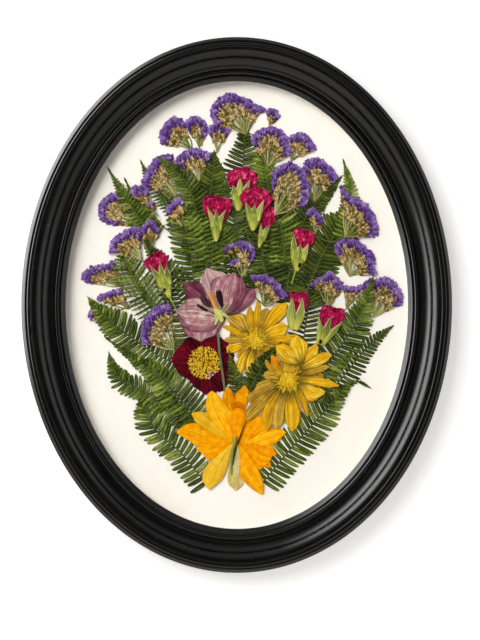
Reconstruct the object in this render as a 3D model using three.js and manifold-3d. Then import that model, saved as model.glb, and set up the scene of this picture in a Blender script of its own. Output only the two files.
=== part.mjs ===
// Pressed flower frame: an oval wooden moulding with glass, a pale mount board and
// pressed ferns, statice, carnations, a tulip, daisies and chrysanthemums laid on it.
// Millimetres. +Z is up, +X to the right, and the face of the frame looks along -Y.
// The origin is on the wall plane, at the nail that the hanger rests on.

import * as THREE from 'three';
import { mergeVertices } from 'three/addons/utils/BufferGeometryUtils.js';
import Module from 'manifold-3d';

const wasm = await Module();
wasm.setup();

// ---- Driving dimensions -------------------------------------------------------

const SIGHT_HALF_WIDTH = 134.5; // the oval opening that shows the board
const SIGHT_HALF_HEIGHT = 175.8;
const FACE_WIDTH = 34.2; // moulding, from its sight edge to its outer edge
const RABBET_WIDTH = 7;
const OVAL_SEGMENTS = 44;
const FULL_TURN = 2 * Math.PI;

const PAD_THICKNESS = 2;
const CLEARANCE = 0.3; // between pieces that touch
const BACK_PLANE = PAD_THICKNESS + CLEARANCE; // back of the moulding, from the wall
const POINT_THICKNESS = 0.6;
const BACKING_THICKNESS = 3;
const BOARD_THICKNESS = 1.5;
const SPECIMEN_SPACE = 6.4; // from the board to the glass
const SPACER_INNER = 1.8; // spacer's inner edge, outside the sight edge
const GLASS_THICKNESS = 2;

const HANGER_DROP = 20; // from the frame's top edge down to the nail
const CENTRE_DROP = SIGHT_HALF_HEIGHT + FACE_WIDTH - HANGER_DROP;

// Distances out from the wall, piece by piece.
const POINT_BACK = BACK_PLANE + CLEARANCE;
const BACKING_BACK = POINT_BACK + POINT_THICKNESS + CLEARANCE;
const BOARD_BACK = BACKING_BACK + BACKING_THICKNESS + CLEARANCE;
const BOARD_FACE = BOARD_BACK + BOARD_THICKNESS;
const GLASS_BACK = BOARD_FACE + SPECIMEN_SPACE;
const SHELF = GLASS_BACK + GLASS_THICKNESS + CLEARANCE; // rabbet shelf under the lip

// The layout sheet for the specimens is ruled in squares. Columns count from its left
// edge and rows downwards from its top; the oval's centre is at CENTRE_SQUARE.
const SQUARE = 0.785;
const CENTRE_SQUARE = [236.8, 305];
const LAYER_PITCH = 0.55; // specimens overlap in layers, one above the other
const LEAF_THICKNESS = 0.3;
const FIRST_LAYER = 0.2; // lift of the lowest layer off the board

// ---- Helpers ------------------------------------------------------------------

// A place on the layout sheet, as X and Z from the oval's centre.
function at([column, row]) {
  return new THREE.Vector2(column - CENTRE_SQUARE[0], CENTRE_SQUARE[1] - row).multiplyScalar(SQUARE);
}

function layerHeight(layer) {
  return FIRST_LAYER + layer * LAYER_PITCH;
}

// An outline in the X-Z plane becomes a plate; near and far are distances from the wall.
function plate(outline, near, far) {
  const shape = outline.isShape ? outline : new THREE.Shape(outline);
  const geometry = new THREE.ExtrudeGeometry(shape, { depth: far - near, bevelEnabled: false });
  geometry.translate(0, 0, near);
  geometry.rotateX(Math.PI / 2);
  return geometry;
}

function toManifold(geometry) {
  const bare = geometry.index ? geometry.toNonIndexed() : geometry.clone();
  bare.deleteAttribute('normal');
  bare.deleteAttribute('uv');
  const merged = mergeVertices(bare, 1e-4);
  return new wasm.Manifold(new wasm.Mesh({
    numProp: 3,
    vertProperties: new Float32Array(merged.attributes.position.array),
    triVerts: new Uint32Array(merged.index.array),
  }));
}

function fromManifold(solid) {
  const mesh = solid.getMesh();
  const geometry = new THREE.BufferGeometry();
  geometry.setAttribute('position', new THREE.BufferAttribute(mesh.vertProperties, 3));
  geometry.setIndex(new THREE.BufferAttribute(mesh.triVerts, 1));
  return geometry;
}

function fuse(geometries) {
  return fromManifold(geometries.map(toManifold).reduce((whole, next) => whole.add(next)));
}

function cut(geometry, tool) {
  return fromManifold(toManifold(geometry).subtract(toManifold(tool)));
}

function material(color, roughness, metalness = 0, extra = {}) {
  return new THREE.MeshStandardMaterial({ color, roughness, metalness, ...extra });
}

function piece(name, geometry, finish) {
  const mesh = new THREE.Mesh(geometry, finish);
  mesh.name = name;
  return mesh;
}

// ---- Finishes -----------------------------------------------------------------

const BLACK_PAINT = material(0x141414, 0.38);
const CLEAR_GLASS = material(0xf4f8f6, 0.03, 0, { transparent: true, opacity: 0.2 });
const CREAM_BOARD = material(0xf8f4ea, 0.9);
const WHITE_FOAM = material(0xefece4, 0.85);
const HARDBOARD = material(0x7a5a3a, 0.8);
const STEEL = material(0xb4b6b8, 0.35, 1);
const FELT = material(0x2b2b2b, 0.95);
const FERN_GREEN = material(0x40581c, 0.75);
const FERN_DARK = material(0x25350f, 0.75);
const STATICE_PURPLE = material(0x7a58b8, 0.8);
const CARNATION = material(0xb81c56, 0.75);
const TULIP_MAUVE = material(0xa8707f, 0.7);
const CRIMSON = material(0x70081c, 0.75);
const GOLD = material(0xe0ab18, 0.75);
const ORANGE = material(0xf5a404, 0.7);

// ---- Oval frame ---------------------------------------------------------------

// A point of the oval that lies a distance outside the sight edge, along its normal.
function ovalPoint(angle, outside) {
  const x = SIGHT_HALF_WIDTH * Math.cos(angle);
  const z = SIGHT_HALF_HEIGHT * Math.sin(angle);
  const normal = new THREE.Vector2(x / SIGHT_HALF_WIDTH ** 2, z / SIGHT_HALF_HEIGHT ** 2).normalize();
  return new THREE.Vector2(x, z).addScaledVector(normal, outside);
}

function segmentAngle(i) {
  return (i / OVAL_SEGMENTS) * FULL_TURN;
}

function ovalOutline(outside) {
  return Array.from({ length: OVAL_SEGMENTS }, (_, i) => ovalPoint(segmentAngle(i), outside));
}

function ovalPlate(outside, near, far) {
  return plate(ovalOutline(outside), near, far);
}

// Section of the moulding: how far outside the sight edge, how far out from the wall.
// Lip, bead, deep quirk, wide cove rising to the crest, and a reeded outer slope.
const MOULDING_SECTION = [
  [RABBET_WIDTH, BACK_PLANE],
  [RABBET_WIDTH, SHELF],
  [0, SHELF],
  [0, SHELF + 2.2],
  [3.6, SHELF + 4.6],
  [4.9, SHELF + 4],
  [6.9, SHELF + 6],
  [9.2, SHELF + 3.4],
  [13.5, SHELF + 4.6],
  [18, SHELF + 9.2],
  [20.5, SHELF + 11.6],
  [26.4, SHELF + 12.8],
  [31, SHELF + 8.6],
  [FACE_WIDTH, SHELF + 4],
  [FACE_WIDTH - 0.8, BACK_PLANE],
];

function buildMoulding() {
  const corners = MOULDING_SECTION.length;
  const positions = [];
  const indices = [];
  for (let i = 0; i < OVAL_SEGMENTS; i += 1) {
    for (const [outside, fromWall] of MOULDING_SECTION) {
      const point = ovalPoint(segmentAngle(i), outside);
      positions.push(point.x, -fromWall, point.y);
    }
  }
  for (let i = 0; i < OVAL_SEGMENTS; i += 1) {
    const here = i * corners;
    const there = ((i + 1) % OVAL_SEGMENTS) * corners;
    for (let j = 0; j < corners; j += 1) {
      const k = (j + 1) % corners;
      indices.push(here + j, here + k, there + j);
      indices.push(there + j, here + k, there + k);
    }
  }
  const geometry = new THREE.BufferGeometry();
  geometry.setAttribute('position', new THREE.Float32BufferAttribute(positions, 3));
  geometry.setIndex(indices);
  return geometry;
}

function buildSpacer() {
  const outer = ovalPlate(RABBET_WIDTH - 2 * CLEARANCE, BOARD_FACE + CLEARANCE, GLASS_BACK - CLEARANCE);
  const hole = ovalPlate(SPACER_INNER, BOARD_FACE, GLASS_BACK);
  return cut(outer, hole);
}

// Flat steel point: a short pointed tab that lies on the backing at the rabbet wall.
function buildPoint(angle) {
  const length = 12;
  const halfWidth = 3.5;
  const shoulder = 3;
  const noseHalfWidth = 1.5;
  const reach = RABBET_WIDTH - 0.9; // clear of the rabbet's wall between two corners of the oval
  const wall = ovalPoint(angle, reach);
  const inward = ovalPoint(angle, reach - length).sub(wall).normalize();
  const side = new THREE.Vector2(-inward.y, inward.x);
  const corner = (along, across) => wall.clone().addScaledVector(inward, along).addScaledVector(side, across);
  const outline = [
    corner(0, -noseHalfWidth),
    corner(shoulder, -halfWidth),
    corner(length, -halfWidth),
    corner(length, halfWidth),
    corner(shoulder, halfWidth),
    corner(0, noseHalfWidth),
  ];
  return plate(outline, POINT_BACK, POINT_BACK + POINT_THICKNESS);
}

// Sawtooth hanger: a steel strip with a row of teeth along its lower edge and narrower ends.
function buildHanger() {
  const halfLength = 22;
  const toothCount = 9;
  const toothPitch = 3;
  const toothDepth = 1.8;
  const shoulder = (toothCount * toothPitch) / 2 + 1.5;
  const halfHeight = 2.5;
  const endHalfHeight = 1.5;
  const thickness = 0.8;
  const corner = (x, z) => new THREE.Vector2(x, z);
  const outline = [corner(-halfLength, -endHalfHeight), corner(-shoulder, -halfHeight)];
  for (let i = 0; i < toothCount; i += 1) {
    const left = (i - toothCount / 2) * toothPitch;
    outline.push(corner(left, -halfHeight));
    outline.push(corner(left + toothPitch / 2, toothDepth - halfHeight));
  }
  outline.push(corner((toothCount * toothPitch) / 2, -halfHeight));
  outline.push(corner(halfLength, -endHalfHeight));
  outline.push(corner(halfLength, endHalfHeight));
  outline.push(corner(shoulder, halfHeight));
  outline.push(corner(-shoulder, halfHeight));
  outline.push(corner(-halfLength, endHalfHeight));
  const near = BACK_PLANE - CLEARANCE;
  return plate(outline, near - thickness, near);
}

const PAD_RADIUS = 6;
const PAD_SIDES = 16;

function buildPad(centreX, centreZ) {
  const pad = new THREE.CylinderGeometry(PAD_RADIUS, PAD_RADIUS, PAD_THICKNESS, PAD_SIDES);
  pad.translate(centreX, -PAD_THICKNESS / 2, centreZ);
  return pad;
}

// ---- Fern fronds --------------------------------------------------------------

// A frond is its midrib with a row of strap-shaped leaflets down each side. The spine
// runs from the tip to the base; reach is the longest leaflet, taper is the share of
// the spine over which leaflets grow to that length.
const FRONDS = [
  { name: 'fern_lower_left_1', layer: 0, reach: 17, pairs: 6, taper: 0.35,
    spine: [[138, 400], [148, 418], [158, 434], [180, 453], [205, 484]] },
  { name: 'fern_lower_left_2', layer: 1, reach: 14, pairs: 6, taper: 0.4,
    spine: [[107, 352], [116, 369], [127, 381], [143, 390], [162, 402], [186, 425]] },
  { name: 'fern_lower_left_3', layer: 2, reach: 18, pairs: 7, taper: 0.5,
    spine: [[104, 337], [121, 351], [141, 366], [166, 387], [198, 422]] },
  { name: 'fern_lower_left_4', layer: 1, reach: 17, pairs: 7, taper: 0.35,
    spine: [[87, 297], [98, 311], [112, 323], [131, 338], [158, 356], [184, 368]] },
  { name: 'fern_left', layer: 2, reach: 20, pairs: 6, taper: 0.25,
    spine: [[119, 250], [130, 272], [144, 295], [163, 318]] },
  { name: 'fern_upper_left_1', layer: 1, reach: 14, pairs: 6, taper: 0.6,
    spine: [[107, 167], [115, 180], [127, 196], [144, 219], [160, 236]] },
  { name: 'fern_upper_left_2', layer: 0, reach: 16, pairs: 6, taper: 0.6,
    spine: [[139, 160], [148, 177], [160, 194], [186, 228]] },
  { name: 'fern_centre_left', layer: 3, reach: 20, pairs: 6, taper: 0.4,
    spine: [[158, 157], [172, 171], [186, 190], [203, 225], [213, 270]] },
  { name: 'fern_by_left_bud', layer: 1, reach: 17, pairs: 6, taper: 0.6,
    spine: [[142, 238], [151, 251], [164, 268], [177, 292], [185, 318]] },
  { name: 'fern_top', layer: 0, reach: 34, pairs: 6, taper: 1,
    spine: [[244, 128], [244, 150], [243, 170], [243, 196]] },
  { name: 'fern_upper_middle', layer: 1, reach: 18, pairs: 6, taper: 0.3,
    spine: [[258, 142], [263, 162], [270, 190], [281, 225], [286, 264]] },
  { name: 'fern_middle', layer: 2, reach: 20, pairs: 6, taper: 0.3,
    spine: [[236, 204], [234, 228], [234, 252], [236, 276]] },
  { name: 'fern_upper_right', layer: 2, reach: 21, pairs: 6, taper: 0.7,
    spine: [[344, 159], [351, 180], [353, 205], [348, 240]] },
  { name: 'fern_right_inner', layer: 0, reach: 20, pairs: 6, taper: 0.5,
    spine: [[343, 175], [330, 189], [312, 207], [298, 235], [290, 268]] },
  { name: 'fern_right', layer: 5, reach: 19, pairs: 7, taper: 0.35,
    spine: [[374, 275], [369, 296], [360, 317], [344, 343], [325, 368], [306, 396]] },
  { name: 'fern_right_outer', layer: 3, reach: 15, pairs: 6, taper: 0.7,
    spine: [[394, 326], [381, 336], [366, 350], [348, 372], [328, 396]] },
  { name: 'fern_lower_right', layer: 4, reach: 19, pairs: 10, taper: 0.4,
    spine: [[371, 388], [362, 382], [350, 384], [338, 398], [318, 420], [290, 451], [263, 484]] },
  { name: 'fern_behind_buds', layer: 3, reach: 15, pairs: 6, taper: 0.2,
    spine: [[310, 294], [308, 312], [305, 332], [303, 352]] },
  { name: 'fern_over_chrysanthemum', layer: 6, reach: 11, pairs: 6, taper: 0.6, dark: true,
    spine: [[281, 343], [270, 355], [259, 372], [249, 392]] },
];

const FROND_RIB_HALF_WIDTH = 0.55;
const LEAFLET_SWEEP = THREE.MathUtils.degToRad(62); // between the leaflets and the midrib
const LEAFLET_GROWTH = 0.85; // power by which they lengthen from the tip down
const LEAFLET_AXIL = 0.42; // gap between leaflets, as a share of their spacing
const LEAFLET_TOP = 0.2; // how far the blunt end reaches up the frond, and down
const LEAFLET_BOTTOM = 0.42;
const LEAFLET_SLANT = 0.12; // how much shorter the lower corner of the end is

// The three corners of one leaflet: its axil and the two corners of its blunt end.
function leafletCorners(midrib, i, sign, { reach, pairs, taper }) {
  const along = (i + 0.6) / pairs;
  const spacing = midrib.getLength() / pairs;
  const tipward = midrib.getTangentAt(along).negate();
  const outward = new THREE.Vector2(-tipward.y, tipward.x).multiplyScalar(sign);
  const length = reach * SQUARE * Math.min(1, along / taper) ** LEAFLET_GROWTH;
  const leaf = tipward.clone().multiplyScalar(Math.cos(LEAFLET_SWEEP));
  leaf.addScaledVector(outward, Math.sin(LEAFLET_SWEEP));
  const axil = midrib.getPointAt(Math.max(0, along - LEAFLET_AXIL / pairs));
  const tip = midrib.getPointAt(along).addScaledVector(leaf, length);
  return [
    axil.addScaledVector(outward, FROND_RIB_HALF_WIDTH),
    tip.clone().addScaledVector(tipward, LEAFLET_TOP * spacing),
    tip.addScaledVector(tipward, -LEAFLET_BOTTOM * spacing).addScaledVector(leaf, -LEAFLET_SLANT * length),
  ];
}

function frondOutline(frond) {
  const midrib = new THREE.SplineCurve(frond.spine.map(at));
  const order = Array.from({ length: frond.pairs }, (_, i) => i);
  const side = (sign) => order.flatMap((i) => leafletCorners(midrib, i, sign, frond));
  return [midrib.getPointAt(0), ...side(1), midrib.getPointAt(1), ...side(-1).reverse()];
}

function buildFrond(frond) {
  const near = BOARD_FACE + layerHeight(frond.layer);
  return plate(frondOutline(frond), near, near + LEAF_THICKNESS);
}

// ---- Statice ------------------------------------------------------------------

// A head is a scalloped crown of papery florets over a fan of bracts that narrows to
// its foot. Stems join the feet of one sprig.
const SPRIGS = [
  { name: 'statice_top', layer: 2, heads: [
    { crown: [[213, 121], [209, 111], [214, 100], [226, 92], [240, 94], [254, 101], [266, 107]],
      foot: [246, 133] }] },
  { name: 'statice_upper_left_pair', layer: 1, join: [203, 156], heads: [
    { crown: [[158, 142], [161, 128], [168, 117], [176, 116], [184, 121]], foot: [192, 149] },
    { crown: [[184, 122], [190, 115], [198, 115], [206, 122], [207, 130]], foot: [199, 146] },
    { crown: [[208, 128], [214, 122], [222, 121], [232, 128]], foot: [217, 151] }] },
  { name: 'statice_left_arch', layer: 2, join: [190, 202], heads: [
    { crown: [[140, 184], [146, 168], [157, 155], [172, 153]], foot: [176, 196] },
    { crown: [[174, 164], [177, 154], [192, 147], [207, 150], [208, 157]], foot: [199, 180] }] },
  { name: 'statice_far_left', layer: 0, heads: [
    { crown: [[110, 223], [98, 216], [98, 204], [106, 194], [117, 190]], foot: [138, 226] }] },
  { name: 'statice_left_small_pair', layer: 4, join: [170, 232], heads: [
    { crown: [[130, 192], [134, 184], [146, 188]], foot: [152, 210] },
    { crown: [[164, 209], [170, 203], [177, 197], [183, 200]], foot: [182, 226] }] },
  { name: 'statice_left_fan', layer: 3, join: [150, 262], heads: [
    { crown: [[108, 252], [111, 238], [124, 230], [134, 226], [140, 231]], foot: [141, 260] },
    { crown: [[141, 228], [149, 219], [158, 228]], foot: [151, 244] }] },
  { name: 'statice_lower_left', layer: 0, join: [137, 298], heads: [
    { crown: [[84, 282], [80, 274], [92, 266], [103, 264], [114, 258]], foot: [122, 286] },
    { crown: [[94, 299], [104, 292], [120, 287]], foot: [128, 309] },
    { crown: [[89, 320], [86, 314], [92, 307]], foot: [101, 316] }] },
  { name: 'statice_by_tulip', layer: 3, heads: [
    { crown: [[141, 343], [140, 328], [148, 314], [158, 305], [171, 304]], foot: [174, 350] }] },
  { name: 'statice_upper_right_pair', layer: 2, join: [276, 172], heads: [
    { crown: [[253, 141], [254, 132], [268, 125], [283, 129], [294, 154]], foot: [268, 166] },
    { crown: [[267, 108], [274, 106], [280, 113]], foot: [270, 127] },
    { crown: [[290, 134], [302, 131], [311, 137], [318, 148]], foot: [291, 160] }] },
  { name: 'statice_right_arch', layer: 4, heads: [
    { crown: [[273, 180], [276, 169], [290, 161], [303, 168], [310, 184], [307, 205]], foot: [275, 214] }] },
  { name: 'statice_right_slope', layer: 3, heads: [
    { crown: [[305, 166], [306, 159], [318, 157], [331, 165], [340, 176]], foot: [315, 201] }] },
  { name: 'statice_far_right', layer: 4, join: [334, 242], heads: [
    { crown: [[341, 184], [350, 194], [365, 201], [376, 215], [380, 232], [374, 236]], foot: [346, 237] },
    { crown: [[308, 212], [314, 207], [325, 219]], foot: [316, 234] }] },
  { name: 'statice_right_middle', layer: 3, heads: [
    { crown: [[336, 250], [339, 240], [350, 236], [363, 243], [375, 255], [378, 275]], foot: [350, 276] }] },
  { name: 'statice_right_cup', layer: 4, join: [336, 317], heads: [
    { crown: [[314, 281], [328, 271], [336, 280], [346, 282]], foot: [326, 307] },
    { crown: [[344, 280], [356, 280], [366, 280], [375, 276]], foot: [347, 309] }] },
  { name: 'statice_right_end', layer: 2, heads: [
    { crown: [[375, 280], [387, 276], [398, 284], [405, 297], [402, 304]], foot: [374, 318] }] },
  { name: 'statice_middle_pair', layer: 5, join: [258, 300], heads: [
    { crown: [[252, 275], [262, 274], [275, 279], [289, 297]], foot: [264, 306] },
    { crown: [[222, 247], [234, 240], [248, 241], [254, 250]], foot: [243, 277] }] },
];

const STEM_HALF_WIDTH = 0.9;
const SCALLOP_LENGTH = 8.6;
const SCALLOP_RISE = 1.3;
const HEAD_PINCH = 0.55; // how far down the head its sides draw in
const HEAD_TUCK = 1.2;

function headOutline({ crown, foot }) {
  const arc = new THREE.SplineCurve(crown.map(at));
  const count = Math.max(3, Math.round(arc.getLength() / SCALLOP_LENGTH));
  const end = at(foot);
  const outline = [];
  for (let i = 0; i <= 2 * count; i += 1) {
    const point = arc.getPointAt(i / (2 * count));
    const outward = point.clone().sub(end).normalize();
    outline.push(point.addScaledVector(outward, i % 2 ? SCALLOP_RISE : 0));
  }
  const first = outline[0];
  const last = outline[outline.length - 1];
  const axis = arc.getPointAt(0.5).sub(end).normalize();
  const across = new THREE.Vector2(axis.y, -axis.x).multiplyScalar(STEM_HALF_WIDTH);
  const pinch = (corner) => corner.clone().lerp(end, HEAD_PINCH).addScaledVector(axis, -HEAD_TUCK);
  const turnsRight = Math.sign(across.dot(last.clone().sub(first)));
  return [
    ...outline,
    pinch(last),
    end.clone().addScaledVector(across, turnsRight),
    end.clone().addScaledVector(across, -turnsRight),
    pinch(first),
  ];
}

function strip(from, to, halfWidth) {
  const across = to.clone().sub(from).normalize().multiplyScalar(halfWidth);
  across.set(-across.y, across.x);
  return [from.clone().add(across), from.clone().sub(across), to.clone().sub(across), to.clone().add(across)];
}

function ccw(outline) {
  return THREE.ShapeUtils.isClockWise(outline) ? outline.slice().reverse() : outline;
}

function buildSprig({ layer, heads, join }) {
  const near = BOARD_FACE + layerHeight(layer);
  const outlines = heads.map(headOutline);
  if (join) {
    for (const { crown, foot } of heads) {
      const inside = at(crown[Math.floor(crown.length / 2)]).lerp(at(foot), 0.9);
      outlines.push(strip(inside, at(join), STEM_HALF_WIDTH));
    }
  }
  return fuse(outlines.map((outline) => plate(ccw(outline), near, near + LEAF_THICKNESS)));
}

// ---- Carnation buds -----------------------------------------------------------

// A bud is a fan of pink petals over a tapering calyx with pointed sepals. The fan is
// listed left to right along its edge; foot is the end of the calyx.
const BUDS = [
  { name: 'carnation_1', layer: 3, width: 12, foot: [239, 204],
    fan: [[226, 173], [232, 169], [243, 166], [254, 170], [258, 178], [251, 184], [234, 182]] },
  { name: 'carnation_2', layer: 5, width: 13, foot: [216, 241],
    fan: [[202, 204], [204, 196], [214, 196], [232, 200], [230, 210], [219, 212], [208, 208]] },
  { name: 'carnation_3', layer: 4, width: 16, foot: [253, 230],
    fan: [[240, 194], [247, 188], [256, 187], [267, 190], [272, 197], [264, 205], [246, 201]] },
  { name: 'carnation_4', layer: 3, width: 9, foot: [259, 247],
    fan: [[261, 219], [264, 208], [268, 205], [277, 213], [271, 223], [264, 224]] },
  { name: 'carnation_5', layer: 4, width: 15, foot: [169, 297],
    fan: [[142, 261], [150, 256], [158, 251], [164, 254], [166, 266], [160, 270], [146, 270]] },
  { name: 'carnation_6', layer: 5, width: 18, foot: [297, 271],
    fan: [[294, 236], [296, 227], [305, 229], [315, 233], [312, 242], [304, 246], [297, 241]] },
  { name: 'carnation_7', layer: 6, width: 16, foot: [294, 332],
    fan: [[289, 300], [291, 291], [299, 292], [307, 292], [309, 303], [302, 308], [294, 306]] },
  { name: 'carnation_8', layer: 6, width: 16, foot: [321, 347],
    fan: [[321, 315], [325, 305], [336, 308], [346, 310], [344, 320], [335, 324], [326, 322]] },
];

const CALYX_SWELL = 0.15; // the calyx stands this much over the petals

// Half the calyx and its sepals, from the foot to the middle sepal: along its length and
// across, as shares of the length and the half width.
const CALYX_HALF = [[0, 0.2], [0.3, 0.85], [0.7, 1], [1.02, 0.86], [0.78, 0.45], [1.06, 0]];

function budCalyx({ fan, foot, width }) {
  const end = at(foot);
  const sum = fan.map(at).reduce((total, point) => total.add(point));
  const middle = sum.divideScalar(fan.length);
  const axis = middle.sub(end);
  const across = new THREE.Vector2(axis.y, -axis.x).setLength((width / 2) * SQUARE);
  const corner = ([along, side]) => end.clone().addScaledVector(axis, along).addScaledVector(across, side);
  const mirrored = CALYX_HALF.slice(0, -1).reverse().map(([along, side]) => [along, -side]);
  return [...CALYX_HALF, ...mirrored].map(corner);
}

function buildBud(bud) {
  const near = BOARD_FACE + layerHeight(bud.layer);
  const petals = plate(ccw(bud.fan.map(at)), near, near + LEAF_THICKNESS);
  const calyx = plate(ccw(budCalyx(bud)), near, near + LEAF_THICKNESS + CALYX_SWELL);
  return fuse([petals, calyx]);
}

// ---- Open flowers -------------------------------------------------------------

function rounded(corners, steps) {
  const curve = new THREE.SplineCurve([...corners, corners[0]].map(at));
  return Array.from({ length: steps }, (_, i) => curve.getPoint(i / steps));
}

// Petals of the tulip, back to front, then its anthers, pistil and slim stem.
const TULIP_PETALS = [
  { rise: 0, corners: [[185, 322], [220, 318], [218, 335], [203, 340], [190, 335]] },
  { rise: 0, corners: [[200, 277], [205, 268], [213, 269], [222, 290], [212, 310], [200, 296]] },
  { rise: 0, corners: [[184, 284], [197, 282], [206, 286], [216, 306], [196, 304], [188, 297]] },
  { rise: 0, corners: [[236, 284], [250, 288], [256, 292], [250, 308], [238, 316], [222, 312]] },
  { rise: 0.25,
    corners: [[176, 309], [184, 299], [202, 299], [220, 310], [219, 324], [201, 331], [182, 325]] },
  { rise: 0.25,
    corners: [[210, 284], [224, 273], [238, 277], [245, 293], [240, 310], [224, 315], [214, 304]] },
];

const TULIP_STAMENS = [
  { root: [217, 313], tip: [205, 296] },
  { root: [219, 312], tip: [220, 293] },
  { root: [214, 313], tip: [198, 305] },
  { root: [218, 314], tip: [211, 291] },
];

const TULIP_STEM = { root: [217, 332], tip: [225, 393] };
const TULIP_LAYER = 6;
const PETAL_STEPS = 12; // corners of a rounded petal
const STAMEN_RISE = 0.55;
const STAMEN_HALF_WIDTH = 1.6;
const TULIP_STEM_HALF_WIDTH = 1.1;

function buildTulip() {
  const near = BOARD_FACE + layerHeight(TULIP_LAYER);
  const face = near + LEAF_THICKNESS;
  const rod = ({ root, tip }, halfWidth, far) => plate(ccw(strip(at(root), at(tip), halfWidth)), near, far);
  const petals = TULIP_PETALS.map(({ rise, corners }) => (
    plate(ccw(rounded(corners, PETAL_STEPS)), near, face + rise)));
  const stamens = TULIP_STAMENS.map((stamen) => rod(stamen, STAMEN_HALF_WIDTH, face + STAMEN_RISE));
  return fuse([...petals, ...stamens, rod(TULIP_STEM, TULIP_STEM_HALF_WIDTH, face)]);
}

// A ray petal: along it, from the centre to the tip, and across, in half widths.
const RAY_OUTLINE = [[0, 0], [0.65, -1], [1, -0.35], [1, 0.35], [0.65, 1]];
const HUB_SIDES = 14;

function rayPetal(middle, { tip, width }) {
  const axis = at(tip).sub(middle);
  const across = new THREE.Vector2(-axis.y, axis.x).setLength((width / 2) * SQUARE);
  const corner = ([along, side]) => middle.clone().addScaledVector(axis, along).addScaledVector(across, side);
  return RAY_OUTLINE.map(corner);
}

function hubOutline(middle, radius) {
  return Array.from({ length: HUB_SIDES }, (_, i) => {
    const angle = (i / HUB_SIDES) * FULL_TURN;
    return middle.clone().add(new THREE.Vector2(Math.cos(angle), Math.sin(angle)).multiplyScalar(radius));
  });
}

function buildRayFlower({ layer, centre, hub, rise, petals }) {
  const near = BOARD_FACE + layerHeight(layer);
  const middle = at(centre);
  const rays = petals.map((petal) => plate(ccw(rayPetal(middle, petal)), near, near + LEAF_THICKNESS));
  const disk = plate(ccw(hubOutline(middle, hub * SQUARE)), near, near + LEAF_THICKNESS + rise);
  return fuse([...rays, disk]);
}

function tips(width, list) {
  return list.map((tip) => ({ tip, width }));
}

const CRIMSON_DAISY = {
  name: 'crimson_daisy', layer: 3, centre: [204, 363], hub: 16, rise: 0.5,
  petals: tips(14, [[171, 360], [176, 349], [186, 338], [200, 334], [215, 335], [228, 341], [234, 354],
    [234, 368], [231, 382], [222, 392], [207, 396], [196, 389], [186, 379], [176, 371]]),
};

const GOLD_CHRYSANTHEMUM = {
  name: 'chrysanthemum_upper', layer: 4, centre: [255, 338], hub: 13, rise: 0.5,
  petals: [
    ...tips(12, [[227, 350], [224, 339], [224, 328], [230, 317]]),
    ...tips(13, [[241, 306], [251, 302], [260, 301]]),
    ...tips(15, [[283, 307], [287, 324], [290, 336]]),
    ...tips(12, [[276, 351], [268, 362], [253, 370], [246, 378], [237, 376]]),
  ],
};

const GOLD_CHRYSANTHEMUM_LOWER = {
  name: 'chrysanthemum_lower', layer: 8, centre: [288, 379], hub: 15, rise: 0.5,
  petals: [
    ...tips(16, [[276, 347], [290, 338], [303, 343], [317, 345], [329, 354], [328, 368], [338, 386]]),
    ...tips(15, [[316, 402], [309, 416], [301, 425], [292, 431], [280, 430], [268, 429]]),
    ...tips(15, [[247, 418], [251, 404], [258, 388], [266, 364]]),
  ],
};

// Seen from the back, so its own stem lies over the petals.
const ORANGE_FLOWER = {
  name: 'orange_flower', layer: 7, centre: [235, 438], hub: 30, rise: 0,
  petals: [
    ...tips(22, [[212, 392], [228, 387], [245, 387], [262, 402]]),
    ...tips(24, [[193, 412], [177, 431], [195, 451], [206, 487]]),
    ...tips(22, [[238, 491], [262, 493], [266, 470], [272, 452], [286, 435], [266, 418]]),
  ],
  stem: { foot: [231, 475], halfWidth: 1.5, rise: 1 },
};

function buildOrangeFlower({ layer, centre, stem }) {
  const near = BOARD_FACE + layerHeight(layer);
  const outline = strip(at(centre), at(stem.foot), stem.halfWidth);
  const rod = plate(ccw(outline), near, near + LEAF_THICKNESS + stem.rise);
  return fuse([buildRayFlower(ORANGE_FLOWER), rod]);
}

// ---- Assembly -----------------------------------------------------------------

const frame = new THREE.Group();
const body = new THREE.Group(); // everything that is placed from the oval's centre
body.position.set(0, 0, -CENTRE_DROP);
frame.add(body);

const PANEL_EDGE = RABBET_WIDTH - CLEARANCE;
const panel = (back, thickness) => ovalPlate(PANEL_EDGE, back, back + thickness);
body.add(piece('frame_moulding', buildMoulding(), BLACK_PAINT));
body.add(piece('glass_pane', panel(GLASS_BACK, GLASS_THICKNESS), CLEAR_GLASS));
body.add(piece('spacer_ring', buildSpacer(), WHITE_FOAM));
body.add(piece('mount_board', panel(BOARD_BACK, BOARD_THICKNESS), CREAM_BOARD));
body.add(piece('backing_board', panel(BACKING_BACK, BACKING_THICKNESS), HARDBOARD));

const POINT_COUNT = 4;
for (let i = 0; i < POINT_COUNT; i += 1) {
  const angle = ((i + 0.5) / POINT_COUNT) * FULL_TURN;
  body.add(piece(`retaining_point_${i + 1}`, buildPoint(angle), STEEL));
}

// The pads sit on the middle of the moulding's back, low down on either side.
const PAD_SPREAD = 70;
const padLevel = -Math.sqrt(1 - (PAD_SPREAD / (SIGHT_HALF_WIDTH + FACE_WIDTH / 2)) ** 2)
  * (SIGHT_HALF_HEIGHT + FACE_WIDTH / 2);
body.add(piece('bumper_pad_left', buildPad(-PAD_SPREAD, padLevel), FELT));
body.add(piece('bumper_pad_right', buildPad(PAD_SPREAD, padLevel), FELT));
frame.add(piece('sawtooth_hanger', buildHanger(), STEEL));

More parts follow.
